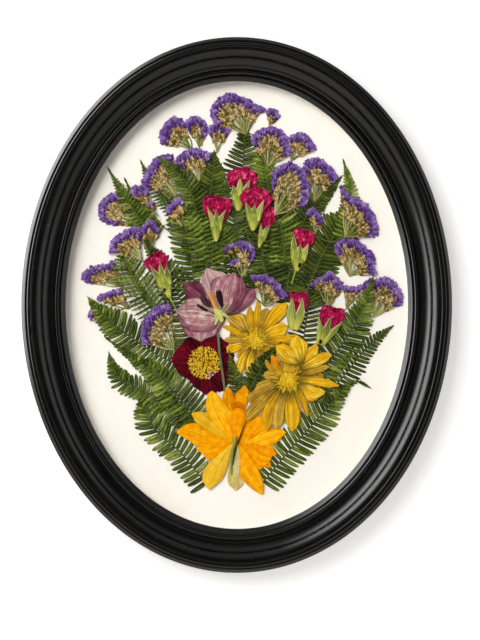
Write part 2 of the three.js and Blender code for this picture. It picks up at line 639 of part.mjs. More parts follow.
for (const frond of FRONDS) {
  body.add(piece(frond.name, buildFrond(frond), frond.dark ? FERN_DARK : FERN_GREEN));
}
for (const sprig of SPRIGS) {
  body.add(piece(sprig.name, buildSprig(sprig), STATICE_PURPLE));
}
for (const bud of BUDS) {
  body.add(piece(bud.name, buildBud(bud), CARNATION));
}
body.add(piece('tulip', buildTulip(), TULIP_MAUVE));
body.add(piece(CRIMSON_DAISY.name, buildRayFlower(CRIMSON_DAISY), CRIMSON));
body.add(piece(GOLD_CHRYSANTHEMUM.name, buildRayFlower(GOLD_CHRYSANTHEMUM), GOLD));
body.add(piece(GOLD_CHRYSANTHEMUM_LOWER.name, buildRayFlower(GOLD_CHRYSANTHEMUM_LOWER), GOLD));
body.add(piece(ORANGE_FLOWER.name, buildOrangeFlower(ORANGE_FLOWER), ORANGE));

export default frame;
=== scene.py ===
"""Looks of the pressed flower frame: the oval moulding, the glass, and every pressed specimen.

Shapes are worked out in millimetres: x to the right, z up from the oval's centre, and
height d out from the wall. Mesh.object() turns them into metres in the model's frame.
"""

import math

import bpy
import numpy as np
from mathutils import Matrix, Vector


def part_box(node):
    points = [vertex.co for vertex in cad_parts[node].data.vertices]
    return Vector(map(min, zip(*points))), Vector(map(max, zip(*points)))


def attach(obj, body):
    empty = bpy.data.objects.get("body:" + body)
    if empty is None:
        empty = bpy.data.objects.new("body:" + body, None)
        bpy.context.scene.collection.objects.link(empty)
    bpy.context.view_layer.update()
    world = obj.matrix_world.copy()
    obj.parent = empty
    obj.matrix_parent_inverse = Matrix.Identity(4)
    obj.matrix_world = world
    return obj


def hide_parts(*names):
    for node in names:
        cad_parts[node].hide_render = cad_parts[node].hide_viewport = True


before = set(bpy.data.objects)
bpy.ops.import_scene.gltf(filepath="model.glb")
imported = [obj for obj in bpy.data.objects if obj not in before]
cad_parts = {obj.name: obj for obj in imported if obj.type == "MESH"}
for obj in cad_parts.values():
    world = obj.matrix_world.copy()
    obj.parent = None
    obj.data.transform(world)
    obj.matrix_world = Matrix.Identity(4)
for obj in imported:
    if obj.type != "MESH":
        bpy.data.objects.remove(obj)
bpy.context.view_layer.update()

# ---- Sizes taken from the frame --------------------------------------------------

MM = 0.001
FACE_WIDTH = 34.2  # moulding, from its sight edge to its outer edge
RABBET_WIDTH = 7.0
CLEARANCE = 0.3
SPACER_REACH = (1.8, 6.4)  # outside the sight edge, from where to where
POINT_START, POINT_LENGTH = 6.5, 12.5  # outside the sight edge, and inward from there

moulding_low, moulding_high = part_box("frame_moulding")
CENTRE_Z = (moulding_low.z + moulding_high.z) / 2 / MM
SIGHT_HALF_WIDTH = (moulding_high.x - moulding_low.x) / 2 / MM - FACE_WIDTH
SIGHT_HALF_HEIGHT = (moulding_high.z - moulding_low.z) / 2 / MM - FACE_WIDTH
BACK_PLANE = -moulding_high.y / MM
BOARD_FACE = -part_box("mount_board")[0].y / MM
SHELF = -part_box("glass_pane")[0].y / MM + CLEARANCE

# The layout sheet is ruled in squares, as in the part: columns from its left edge and
# rows downwards, with the oval's centre at CENTRE_SQUARE.
SQUARE = 0.785
CENTRE_SQUARE = np.array([236.8, 305.0])


def at(squares):
    """Places on the layout sheet (columns and rows) as x and z in millimetres."""
    squares = np.asarray(squares, float)
    return (squares - CENTRE_SQUARE) * np.array([SQUARE, -SQUARE])


def random_for(name):
    """A random source of its own for each piece, the same on every run."""
    return np.random.default_rng(sum((i + 1) * ord(letter) for i, letter in enumerate(name)))


# ---- Curves ------------------------------------------------------------------------


def smooth(values, count):
    """Catmull-Rom curve through the values, sampled at count even parameters."""
    values = np.asarray(values, float)
    if values.ndim == 1:
        values = values[:, None]
    ends = [2 * values[0] - values[1], values, 2 * values[-1] - values[-2]]
    padded = np.vstack(ends)
    spans = len(values) - 1
    t = np.linspace(0, spans, count)
    i = np.minimum(t.astype(int), spans - 1)
    t = (t - i)[:, None]
    a, b, c, d = (padded[i + k] for k in range(4))
    out = b + 0.5 * t * (c - a + t * (2 * a - 5 * b + 4 * c - d + t * (3 * (b - c) + d - a)))
    return out[:, 0] if out.shape[1] == 1 else out


def even(points, count):
    """Points evenly spaced along the smooth curve through the given ones."""
    fine = smooth(points, 12 * len(points))
    length = np.concatenate([[0], np.cumsum(np.linalg.norm(np.diff(fine, axis=0), axis=1))])
    where = np.linspace(0, length[-1], count)
    return np.stack([np.interp(where, length, fine[:, k]) for k in range(fine.shape[1])], axis=1)


def unit(vectors):
    """The vectors, each at length one."""
    return vectors / np.maximum(np.linalg.norm(vectors, axis=-1, keepdims=True), 1e-9)


def tangents(points):
    """Unit directions along a line of points."""
    return unit(np.gradient(points, axis=0))


def left_of(direction):
    """The direction turned a quarter to the left."""
    return np.stack([-direction[..., 1], direction[..., 0]], axis=-1)


def turns(count):
    """Evenly spaced angles of a full turn."""
    return np.arange(count) / count * 2 * math.pi


def lifted(line, height):
    """A flat line of points with its height as third column."""
    return np.column_stack([line, np.full(len(line), height)])


# ---- Closed meshes -------------------------------------------------------------------


class Mesh:
    """Closed shapes that are joined in one mesh. Each point carries its grain: how far
    across the leaf or petal it is, how far along, and the tone of that leaf."""

    def __init__(self):
        self.points, self.faces, self.grain, self.kinds = [], [], [], []
        self.count = 0

    def add(self, points, faces, grain, kind):
        """A closed shape: points n x 3 (x, z, height), faces a list of arrays of point
        numbers. Whichever way round the faces are given, they end up looking outward."""
        if volume(points, faces) < 0:
            faces = [block[:, ::-1] for block in faces]
        self.points.append(points)
        self.grain.append(grain)
        for block in faces:
            self.faces.append(block + self.count)
            self.kinds.append(np.full(len(block), kind))
        self.count += len(points)

    def sheet(self, top, thickness, kind=0, tone=0.5):
        """A leaf: its upper side is a grid, its underside meets that along the edge."""
        rows, columns = top.shape[:2]
        upper = np.arange(rows * columns).reshape(rows, columns)
        lower = upper.copy()
        inner = (rows - 2) * (columns - 2)
        lower[1:-1, 1:-1] = rows * columns + np.arange(inner).reshape(rows - 2, columns - 2)
        under = top[1:-1, 1:-1].copy()
        under[..., 2] -= thickness
        points = np.concatenate([top.reshape(-1, 3), under.reshape(-1, 3)])
        across, along = np.meshgrid(np.linspace(-1, 1, columns), np.linspace(0, 1, rows))
        grain = np.stack([across, along, np.full_like(across, tone)], axis=-1)
        grain = np.concatenate([grain.reshape(-1, 3), grain[1:-1, 1:-1].reshape(-1, 3)])
        self.add(points, [quads(upper), quads(lower)[:, ::-1]], grain, kind)

    def skin(self, loops, grain, kind=0):
        """A solid through rows of points, each row a closed loop, capped at both ends."""
        index = np.arange(loops[..., 0].size).reshape(loops.shape[:2])
        faces = [quads(wrapped(index)), index[:1, ::-1], index[-1:]]
        self.add(loops.reshape(-1, 3), faces, grain, kind)

    def tube(self, line, radii, kind, tone, sides, flat):
        """A stem along a line of x, z and height; flat squeezes its height."""
        side = left_of(tangents(line[:, :2]))
        angle = turns(sides)
        radii = np.asarray(radii)[:, None]
        reach = radii * np.cos(angle)
        loops = np.zeros((len(line), sides, 3))
        loops[..., :2] = line[:, None, :2] + side[:, None] * reach[..., None]
        loops[..., 2] = line[:, None, 2] + radii * np.sin(angle) * flat
        along = np.repeat(np.linspace(0, 1, len(line)), sides)
        across = np.tile(np.cos(angle), len(line))
        self.skin(loops, np.stack([across, along, np.full_like(along, tone)], axis=-1), kind)

    def drape(self, support):
        """Lowers the shape onto what already lies on the board, and adds it to that."""
        points = np.concatenate(self.points)
        points[:, 2] += support.under(points)
        support.add(points)
        self.points = [points]

    def object(self, name, materials, sharp=50, centred=True):
        """The Blender object. centred says that z counts from the oval's centre, and sharp
        is the angle in degrees past which an edge isn't smoothed."""
        points = np.concatenate(self.points)
        corners = np.concatenate([block.ravel() for block in self.faces])
        sizes = np.concatenate([np.full(len(block), block.shape[1]) for block in self.faces])
        mesh = bpy.data.meshes.new(name)
        mesh.vertices.add(len(points))
        lift = CENTRE_Z if centred else 0.0
        placed = np.stack([points[:, 0], -points[:, 2], points[:, 1] + lift], axis=1) * MM
        mesh.vertices.foreach_set("co", placed.astype(np.float32).ravel())
        mesh.loops.add(len(corners))
        mesh.loops.foreach_set("vertex_index", corners.astype(np.int32))
        mesh.polygons.add(len(sizes))
        mesh.polygons.foreach_set("loop_start", (np.cumsum(sizes) - sizes).astype(np.int32))
        mesh.polygons.foreach_set("material_index", np.concatenate(self.kinds).astype(np.int32))
        mesh.update(calc_edges=True)
        grain = mesh.attributes.new("grain", "FLOAT_VECTOR", "POINT")
        grain.data.foreach_set("vector", np.concatenate(self.grain).astype(np.float32).ravel())
        for finish in materials:
            mesh.materials.append(finish)
        mesh.shade_smooth()
        mesh.set_sharp_from_angle(angle=math.radians(sharp))
        piece = bpy.data.objects.new(name, mesh)
        bpy.context.scene.collection.objects.link(piece)
        return piece


def volume(points, faces):
    """Six times the volume in a closed shape, negative where its faces look inward."""
    points = points - points.mean(axis=0)
    total = 0.0
    for block in faces:
        for k in range(1, block.shape[1] - 1):
            first, second, third = (points[block[:, i]] for i in (0, k, k + 1))
            total += (first * np.cross(second, third)).sum()
    return total


def wrapped(index):
    """A grid of point numbers with its first column once more at its end."""
    return np.concatenate([index, index[:, :1]], axis=1)


def quads(index):
    """The faces of a grid of point numbers."""
    corners = (index[:-1, :-1], index[:-1, 1:], index[1:, 1:], index[1:, :-1])
    return np.stack([corner.ravel() for corner in corners], axis=1)


class Support:
    """How high the specimens already reach over the board, on a grid of cells."""

    CELL = 1.2
    SPREAD = 4  # cells over which a leaf bends down beside what it lies on
    MARGIN = 20  # cells in all outside the opening

    def __init__(self):
        reach = np.array([SIGHT_HALF_WIDTH, SIGHT_HALF_HEIGHT])
        self.shape = (2 * reach / self.CELL).astype(int) + self.MARGIN
        self.height = np.zeros(self.shape)

    def under(self, points):
        """The height under each point, smoothed over the cells round it."""
        spread = self.height
        for _ in range(self.SPREAD):
            spread = neighbours(spread).max(axis=0)
        for _ in range(self.SPREAD):
            spread = neighbours(spread).mean(axis=0)
        where = np.clip(points[:, :2] / self.CELL + self.shape / 2 - 0.5, 0, self.shape - 2.001)
        low = where.astype(int)
        part = where - low
        found = 0.0
        for i, j in ((0, 0), (0, 1), (1, 0), (1, 1)):
            share = np.abs(1 - i - part[:, 0]) * np.abs(1 - j - part[:, 1])
            found = found + share * spread[low[:, 0] + i, low[:, 1] + j]
        return found

    def add(self, points):
        """Raises the cells that the points are in to their heights."""
        cell = (points[:, :2] / self.CELL + self.shape / 2).astype(int)
        cell = np.clip(cell, 0, self.shape - 1)
        np.maximum.at(self.height, (cell[:, 0], cell[:, 1]), points[:, 2])


def neighbours(field):
    """The field and its copies shifted by one cell each way."""
    padded = np.pad(field, 1, mode="edge")
    size = field.shape
    offsets = [(i, j) for i in range(3) for j in range(3)]
    return np.stack([padded[i:i + size[0], j:j + size[1]] for i, j in offsets])


# ---- Shader helpers --------------------------------------------------------------------


def colour(code):
    """A hex colour as linear red, green, blue and alpha."""
    parts = [int(code[i:i + 2], 16) / 255 for i in (1, 3, 5)]
    return [c / 12.92 if c <= 0.04045 else ((c + 0.055) / 1.055) ** 2.4 for c in parts] + [1.0]


class Nodes:
    """Short ways to add nodes to a tree."""

    def __init__(self, tree):
        self.tree = tree

    def node(self, kind, inputs=None, **settings):
        """A node with its settings, and with its inputs set or linked."""
        made = self.tree.nodes.new(kind)
        for key, value in settings.items():
            setattr(made, key, value)
        for key, value in (inputs or {}).items():
            self.put(value, made.inputs[key])
        return made

    def put(self, value, socket):
        """Links another node's output to the socket, or sets the socket's own value."""
        if isinstance(value, bpy.types.NodeSocket):
            self.tree.links.new(value, socket)
        else:
            socket.default_value = value

    def maths(self, operation, *values, clamp=False):
        """The outcome of one step of arithmetic."""
        made = self.node("ShaderNodeMath", dict(enumerate(values)), operation=operation, use_clamp=clamp)
        return made.outputs[0]

    def span(self, value, low, high, bottom=0.0, top=1.0, **settings):
        """The value's place between low and high, as bottom to top."""
        inputs = {0: value, 1: low, 2: high, 3: bottom, 4: top}
        return self.node("ShaderNodeMapRange", inputs, **settings).outputs[0]


class Shader(Nodes):
    """A material: its nodes, and patterns for its surface."""

    def __init__(self, name, **values):
        self.material = bpy.data.materials.new(name)
        self.material.use_nodes = True
        super().__init__(self.material.node_tree)
        self.surface = self.tree.nodes["Principled BSDF"]
        for socket, value in values.items():
            self.surface.inputs[socket.replace("_", " ")].default_value = value

    def grain(self):
        """Across, along and tone of the point that is shaded."""
        attribute = self.node("ShaderNodeAttribute", attribute_name="grain")
        parts = self.node("ShaderNodeSeparateXYZ", {0: attribute.outputs["Vector"]})
        return parts.outputs

    def place(self, scale=1.0):
        """Object coordinates in millimetres, times scale."""
        inputs = {0: self.node("ShaderNodeTexCoord").outputs["Object"], 3: scale / MM}
        return self.node("ShaderNodeVectorMath", inputs, operation="SCALE").outputs[0]

    def noise(self, vector, scale, detail, roughness=0.5, distortion=0.0):
        """Noise over a vector, as the noise node's own inputs say."""
        inputs = {"Vector": vector, "Scale": scale, "Detail": detail, "Roughness": roughness}
        return self.node("ShaderNodeTexNoise", inputs | {"Distortion": distortion}).outputs["Fac"]

    def cloud(self, scale, detail=3.0, *rest):
        """Noise over the whole piece, so many waves to a millimetre."""
        return self.noise(self.place(), scale, detail, *rest)

    def streaks(self, across, along, detail=2.0, shift=31.0):
        """Noise drawn out along the leaf: so many streaks across it and so many along."""
        grain = self.grain()
        scaled = [self.maths("MULTIPLY", grain[i], scale) for i, scale in enumerate((across, along, shift))]
        vector = self.node("ShaderNodeCombineXYZ", dict(enumerate(scaled))).outputs[0]
        return self.noise(vector, 1.0, detail)

    def vary(self, value, noise, amount, clamp=False):
        """The value, with amount times what noise differs from a half added to it."""
        return self.maths("MULTIPLY_ADD", self.maths("SUBTRACT", noise, 0.5), amount, value, clamp=clamp)

    def ramp(self, factor, stops):
        """Colours by a factor, given as (position, hex colour) pairs."""
        made = self.node("ShaderNodeValToRGB", {0: factor})
        elements = made.color_ramp.elements
        while len(elements) < len(stops):
            elements.new(1.0)
        for element, (position, code) in zip(elements, stops):
            element.position = position
            element.color = colour(code)
        return made.outputs["Color"]

    def cover(self, paint, factor, code):
        """The paint with a hex colour over it where factor says."""
        made = self.node("ShaderNodeMix", data_type="RGBA")
        for index, value in ((0, factor), (6, paint), (7, colour(code))):
            self.put(value, made.inputs[index])
        return made.outputs[2]

    def bump(self, height, distance, strength=1.0):
        """Small relief, its distance in millimetres."""
        inputs = {"Height": height, "Distance": distance * MM, "Strength": strength}
        self.put(self.node("ShaderNodeBump", inputs).outputs[0], self.surface.inputs["Normal"])

    def base(self, value):
        """Sets the base colour, and hands over the material."""
        self.put(value, self.surface.inputs["Base Color"])
        return self.material


def petal_finish(name, stops, vein, veins=9.0, vein_depth=0.45, edge=None, foot=None, rim=None,
                 mottle=0.18, relief=0.12, streaky=1.5):
    """A dried petal or leaf. stops colour it by its tone, streaks (as streaky says) and
    blotches (mottle). vein darkens thin lines along it, foot colours its first part, rim its
    last part and edge its margin; each of those three is a colour with where it starts and
    where it is full."""
    shader = Shader(name, Roughness=0.8, Specular_IOR_Level=0.06)
    grain = shader.grain()
    streak = shader.streaks(veins * 0.5, 1.6)
    factor = shader.vary(grain[2], streak, streaky)
    factor = shader.vary(factor, shader.cloud(0.22), mottle * 6, clamp=True)
    paint = shader.ramp(factor, stops)
    wavy = shader.vary(grain[1], streak, 0.5)
    if foot:
        paint = shader.cover(paint, shader.span(wavy, foot[1], foot[2], 1.0, 0.0), foot[0])
    if rim:
        paint = shader.cover(paint, shader.span(wavy, rim[1], rim[2]), rim[0])
    fine = shader.streaks(veins * 1.6, 1.1, 3.0, 17.0)
    paint = shader.cover(paint, shader.span(fine, 0.4, 0.56, vein_depth, 0.0), vein)
    if edge:
        margin = shader.maths("ABSOLUTE", grain[0])
        paint = shader.cover(paint, shader.span(margin, edge[1], edge[2]), edge[0])
    shader.bump(shader.maths("ADD", fine, streak), relief)
    return shader.base(paint)


# ---- Finishes ----------------------------------------------------------------------------


def black_paint():
    """Satin black on wood, faintly brushed round the oval, with a few specks of dust."""
    shader = Shader("black_paint", Specular_IOR_Level=0.5)
    brushed = shader.streaks(46.0, 5.0, 3.0)
    tint = shader.ramp(shader.cloud(0.035), [(0.3, "#080809"), (0.7, "#100f0e")])
    speck = shader.span(shader.cloud(0.55, 1.0), 0.765, 0.79)
    rare = shader.span(shader.noise(shader.place(0.11), 0.6, 1.0), 0.5, 0.6)
    dust = shader.maths("MULTIPLY", speck, rare)
    shader.put(shader.span(brushed, 0.3, 0.7, 0.2, 0.3), shader.surface.inputs["Roughness"])
    shader.bump(shader.maths("ADD", brushed, shader.cloud(1.6, 2.0)), 0.02, 0.4)
    return shader.base(shader.cover(tint, dust, "#6e563c"))


def clear_glass():
    """Clear picture glass with hardly visible smears, a little grey: painted shade over all behind it."""
    shader = Shader("clear_glass", Roughness=0.0, IOR=1.45, Transmission_Weight=1.0)
    return shader.base(shader.ramp(shader.cloud(0.01, 2.0), [(0.0, "#f2f2f3"), (1.0, "#f6f5f6")]))


def cream_board():
    """Smooth mount board, a little fibrous and faintly toned."""
    shader = Shader("cream_board", Roughness=0.85, Specular_IOR_Level=0.2)
    fibre = shader.cloud(2.4)
    paint = shader.ramp(shader.cloud(0.012, 2.0), [(0.25, "#f8f4ea"), (0.75, "#fcfaf3")])
    shader.bump(fibre, 0.02, 0.5)
    return shader.base(shader.cover(paint, shader.span(fibre, 0.35, 0.75, 0.0, 0.08), "#d9cdb8"))


def white_foam():
    """Off-white foam strip with small open cells."""
    shader = Shader("white_foam", Roughness=0.9)
    cells = shader.node("ShaderNodeTexVoronoi", {"Vector": shader.place(), "Scale": 1.4}).outputs["Distance"]
    shader.bump(cells, 0.1)
    return shader.base(shader.ramp(cells, [(0.0, "#f3f0e6"), (0.9, "#dcd7c9")]))


def hardboard():
    """Pressed brown fibre board with short loose fibres."""
    shader = Shader("hardboard", Roughness=0.75, Specular_IOR_Level=0.3)
    fibres = shader.cloud(0.9, 6.0, 0.75, 1.4)
    paint = shader.ramp(fibres, [(0.3, "#4f3420"), (0.55, "#7a5636"), (0.75, "#94704b")])
    shader.bump(fibres, 0.12)
    return shader.base(shader.cover(paint, shader.span(shader.cloud(0.03), 0.3, 0.7, 0.0, 0.35), "#5e4128"))


def steel():
    """Ground zinc-plated steel."""
    shader = Shader("steel", Metallic=1.0)
    grind = shader.streaks(30.0, 2.0, 3.0)
    shader.put(shader.span(grind, 0.3, 0.7, 0.25, 0.45), shader.surface.inputs["Roughness"])
    shader.bump(grind, 0.02, 0.5)
    return shader.base(shader.ramp(grind, [(0.2, "#9a9b9c"), (0.8, "#c9cacb")]))


def felt():
    """Black felt with a short nap."""
    shader = Shader("felt", Roughness=1.0, Specular_IOR_Level=0.1)
    nap = shader.cloud(2.2, 5.0, 0.8)
    shader.bump(nap, 0.25)
    return shader.base(shader.ramp(nap, [(0.3, "#1c1c1d"), (0.7, "#3a3a3b")]))


def fern_finish(name, stops):
    """Pressed fern: each leaflet its own tone, with painted shade at its root and margin and a pale midrib.
    """
    shader = Shader(name, Roughness=0.75, Specular_IOR_Level=0.08)
    grain = shader.grain()
    factor = shader.vary(grain[2], shader.cloud(0.06, 4.0), 1.6)
    factor = shader.vary(factor, shader.cloud(0.9), 1.2, clamp=True)
    margin = shader.maths("ABSOLUTE", grain[0])
    veins = shader.streaks(3.0, 22.0, 1.0)
    paint = shader.ramp(factor, stops)
    paint = shader.cover(paint, shader.span(margin, 0.03, 0.22, 0.4, 0.0), "#9cab5c")
    paint = shader.cover(paint, shader.span(veins, 0.4, 0.62, 0.5, 0.0), "#1a2809")
    # Painted shade: darker towards both margins, so dark lines fall between the leaflets.
    paint = shader.cover(paint, shader.span(margin, 0.55, 1.0, 0.0, 0.7), "#1b2107")
    # Painted shade: darker at the root, where the leaflets crowd along the rib.
    paint = shader.cover(paint, shader.span(grain[1], 0.0, 0.35, 0.6, 0.0), "#1b2107")
    shader.bump(veins, 0.12)
    return shader.base(paint)


def stem_finish(name, stops):
    """A dried stem, finely ribbed along it."""
    shader = Shader(name, Roughness=0.75, Specular_IOR_Level=0.1)
    rib = shader.streaks(5.0, 1.0, 2.0)
    shader.bump(rib, 0.1)
    return shader.base(shader.ramp(shader.vary(shader.grain()[2], rib, 1.6, clamp=True), stops))


def calyx_finish(name, rimmed):
    """Yellow-green with fine lengthwise veins, paler low down; rimmed gives cream margins."""
    shader = Shader(name, Roughness=0.7, Specular_IOR_Level=0.1)
    grain = shader.grain()
    rib = shader.streaks(7.0, 0.8, 2.0)
    factor = shader.vary(rib, grain[2], 0.25)
    paint = shader.ramp(factor, [(0.32, "#3f5214"), (0.48, "#7d8c32"), (0.62, "#a9b052"), (0.75, "#d0cf82")])
    paint = shader.cover(paint, shader.span(grain[1], 0.05, 0.5, 0.75, 0.0), "#d3cd5c")
    margin = shader.maths("ABSOLUTE", grain[0])
    # Painted shade: darker towards the sides, which gives dark lines between the sepals.
    paint = shader.cover(paint, shader.span(margin, 0.5, 0.72, 0.0, 0.55), "#4a5f1c")
    if rimmed:
        high = shader.span(grain[1], 0.35, 0.6)
        paint = shader.cover(paint, shader.maths("MULTIPLY", shader.span(margin, 0.74, 0.9), high), "#eadfb0")
    shader.bump(rib, 0.12)
    return shader.base(paint)


BLACK_PAINT = black_paint()
GLASS = clear_glass()
BOARD = cream_board()
FOAM = white_foam()
HARDBOARD = hardboard()
STEEL = steel()
FELT = felt()
FERN_MID = fern_finish("fern_mid", [(0.0, "#26330b"), (0.4, "#4f6319"), (0.75, "#76892d"), (1.0, "#a0af50")])
FERN_DARK = fern_finish("fern_dark", [(0.0, "#1c2408"), (0.5, "#3f4e13"), (1.0, "#6d7c2a")])
FERN_BRIGHT = fern_finish(
    "fern_bright", [(0.0, "#36440e"), (0.45, "#69801f"), (0.8, "#93a53a"), (1.0, "#b4c25c")])
FERN_RIB = stem_finish("fern_rib", [(0.0, "#2c3a14"), (0.6, "#5f7030"), (1.0, "#949e62")])
# Statice paper: the dark lines along each floret are painted shade in its creases, and its dark sides painted
# shade between florets.
STATICE_PAPER = petal_finish(
    "statice_paper", [(0.0, "#613c8c"), (0.35, "#885cae"), (0.65, "#a57dc6"), (1.0, "#d6bbe6")], "#432766",
    veins=8, vein_depth=0.85, edge=("#3d2670", 0.85, 1.0), foot=("#38235a", 0.2, 0.7),
    rim=("#b89ade", 0.82, 1.0), relief=0.35)
# Statice bracts: the dark margins are painted shade in the gaps between bracts.
STATICE_BRACT = petal_finish(
    "statice_bract", [(0.0, "#4f4318"), (0.3, "#967a38"), (0.6, "#d0a762"), (1.0, "#f8e0b0")], "#44360f",
    veins=4, vein_depth=0.6, edge=("#3a3110", 0.5, 1.0), foot=("#474a18", 0.05, 0.5), relief=0.15)
STATICE_STEM = stem_finish("statice_stem", [(0.0, "#4c5320"), (0.5, "#838544"), (1.0, "#c3b888")])
# Carnation petals: the dark lengthwise lines are painted shade between the petals of a fan.
CARNATION_PETAL = petal_finish(
    "carnation_petal", [(0.0, "#66062a"), (0.35, "#9c0c3e"), (0.7, "#c61a54"), (1.0, "#ea6a92")], "#4c041e",
    veins=10, vein_depth=0.85, foot=("#8f0a38", 0.0, 0.3), rim=("#d8487a", 0.92, 1.0), relief=0.4)
CALYX_BODY = calyx_finish("carnation_calyx", False)
SEPAL = calyx_finish("carnation_sepal", True)
CALYX_STEM = stem_finish("calyx_stem", [(0.0, "#5c7024"), (0.6, "#9aa84a"), (1.0, "#cfd07c")])
# Nearly black: painted shade in the calyx clefts, and along the orange flower's stem and a crease.
SHADE_LINE = stem_finish("dark_slit", [(0.0, "#1d1405"), (1.0, "#3a2a10")])
TULIP_PETAL = petal_finish(
    "tulip_petal", [(0.0, "#61243f"), (0.3, "#935466"), (0.65, "#bf9092"), (1.0, "#eedbcb")], "#6b2f43",
    veins=19, vein_depth=0.5, edge=("#4c1029", 0.84, 1.0), foot=("#98a07c", 0.02, 0.25), relief=0.6,
    mottle=0.2, streaky=0.95)
TULIP_DARK = petal_finish(
    "tulip_dark", [(0.0, "#4e1730"), (0.5, "#84465a"), (1.0, "#b48088")], "#4a1c30", veins=9, vein_depth=0.5,
    edge=("#3f1228", 0.88, 1.0), foot=("#6d6a50", 0.0, 0.25), relief=0.3)
TULIP_PALE = petal_finish(
    "tulip_pale", [(0.0, "#9d7078"), (0.5, "#c9a4a4"), (1.0, "#eddccf")], "#7f5a5e", veins=12, vein_depth=0.6,
    edge=("#efe0d4", 0.88, 1.0), relief=0.35, streaky=1.5)
ANTHER = stem_finish("tulip_anther", [(0.0, "#130b0d"), (0.6, "#2b1b1c"), (1.0, "#5a4038")])
PISTIL = stem_finish("tulip_pistil", [(0.0, "#7d4614"), (0.5, "#bb7a34"), (1.0, "#e2b060")])
TULIP_HEART = stem_finish("tulip_heart", [(0.0, "#6f7434"), (0.5, "#b3b258"), (1.0, "#e2dc92")])
SLIM_STEM = stem_finish("slim_stem", [(0.0, "#28301f"), (0.5, "#5c6748"), (1.0, "#98a07e")])
CRIMSON_PETAL = petal_finish(
    "crimson_petal", [(0.0, "#35030d"), (0.5, "#540514"), (1.0, "#7c0c24")], "#2a020b", veins=10,
    vein_depth=0.7, edge=("#2a020b", 0.8, 1.0), relief=0.3)
GOLD_TUFT = petal_finish(
    "gold_tuft", [(0.0, "#d29400"), (0.4, "#f6c012"), (1.0, "#ffec58")], "#9a6a06", veins=3, relief=0.1,
    foot=("#94650a", 0.0, 0.25))
PEACH_TUFT = petal_finish(
    "peach_tuft", [(0.0, "#cc9450"), (0.5, "#ecc48c"), (1.0, "#fbe8c0")], "#a86a30", veins=3, relief=0.1)
LEMON_TUFT = petal_finish(
    "lemon_tuft", [(0.0, "#d8a410"), (0.4, "#fcc814"), (1.0, "#ffe950")], "#6d580e", veins=3, relief=0.1,
    foot=("#d89c0a", 0.0, 0.3))
DISK_HEART = petal_finish("disk_heart", [(0.0, "#4a3606"), (1.0, "#8f650e")], "#2e2104", veins=6)
GOLD_PETAL = petal_finish(
    "gold_petal",
    [(0.0, "#b88a24"), (0.25, "#d9a31a"), (0.55, "#f2ba14"), (0.85, "#fccb1c"), (1.0, "#ffe060")], "#7c5816",
    veins=8, vein_depth=0.6, edge=("#74500a", 0.86, 1.0), foot=("#6e5c14", 0.08, 0.42), relief=0.35,
    streaky=1.2)
OCHRE_PETAL = petal_finish(
    "ochre_petal", [(0.0, "#a8842a"), (0.4, "#d0a434"), (0.75, "#e8c048"), (1.0, "#f6da74")], "#5c4612",
    veins=8, vein_depth=0.65, edge=("#5e4510", 0.86, 1.0), foot=("#574a16", 0.08, 0.42), relief=0.35,
    streaky=1.2)
ORANGE_PETAL = petal_finish(
    "orange_petal", [(0.0, "#dc7c00"), (0.35, "#f09800"), (0.65, "#fcb200"), (1.0, "#ffca24")], "#cc7400",
    veins=7, vein_depth=0.35, edge=("#b06208", 0.92, 1.0), relief=0.35, mottle=0.24, streaky=0.8)
AMBER_PETAL = petal_finish(
    "amber_petal", [(0.0, "#cf9a08"), (0.5, "#eab414"), (1.0, "#f6cf48")], "#a87808", veins=7,
    vein_depth=0.35, edge=("#b07c0c", 0.92, 1.0), relief=0.25, streaky=0.8)
EMBER_PETAL = petal_finish(
    "ember_petal", [(0.0, "#cf6400"), (1.0, "#f08a08")], "#a83e00", veins=7, relief=0.3)
PALE_PETAL = petal_finish(
    "pale_petal", [(0.0, "#b39a4c"), (0.5, "#cfb968"), (1.0, "#ecdc9c")], "#8c7836", veins=7, vein_depth=0.45,
    edge=("#e8d8a0", 0.85, 1.0), relief=0.2)


# ---- Frame, glass and back ---------------------------------------------------------------


def oval_point(angle, outside):
    """The point a distance outside the sight edge, at an angle (or at each of a list)."""
    x = SIGHT_HALF_WIDTH * np.cos(angle)
    z = SIGHT_HALF_HEIGHT * np.sin(angle)
    normal = unit(np.stack([x / SIGHT_HALF_WIDTH**2, z / SIGHT_HALF_HEIGHT**2], axis=-1))
    return np.stack([x, z], axis=-1) + normal * outside


def arc(centre, radius, first, last, count):
    """Points of a section: an arc round centre from one angle to another, in degrees."""
    angle = np.radians(np.linspace(first, last, count))
    return [(centre[0] + radius * math.cos(a), centre[1] + radius * math.sin(a)) for a in angle]


def moulding_section():
    """Outside the sight edge, and out from the rabbet shelf: lip, bead, quirk, cove,
    ovolo, a raised fillet and two reeds on the outer slope."""
    deep = BACK_PLANE - SHELF
    return [
        (RABBET_WIDTH, deep), (RABBET_WIDTH, 0.0), (0.25, 0.0), (0.0, 0.25), (0.0, 1.9),
        *arc((0.7, 1.9), 0.7, 180, 125, 4), (1.6, 3.3), (2.6, 4.05), *arc((3.2, 4.1), 0.5, 100, 20, 4),
        (3.9, 3.8), (4.5, 3.75),
        *arc((6.6, 4.1), 1.9, 170, 10, 10), (8.7, 3.9), (9.0, 3.3), (9.5, 2.9), (10.1, 2.95), (10.6, 3.3),
        *arc((10.2, 12.6), 9.2, -82, -22, 12), (19.2, 9.6),
        (20.0, 10.6), (21.2, 11.5), (22.6, 12.15), (24.2, 12.5), (25.5, 12.5),
        (25.7, 12.7), (26.0, 12.8), (26.5, 12.75), (26.8, 12.4), (27.0, 11.9),
        *arc((28.1, 10.95), 1.25, 120, -5, 7), (29.5, 10.2),
        *arc((30.6, 8.9), 1.35, 118, -8, 7), (32.1, 7.9),
        (32.6, 7.4), (33.4, 6.6), (34.0, 5.6), (FACE_WIDTH, 4.4), (34.1, 3.2),
        (33.6, 0.0), (33.4, deep + 0.6), (33.0, deep),
    ]


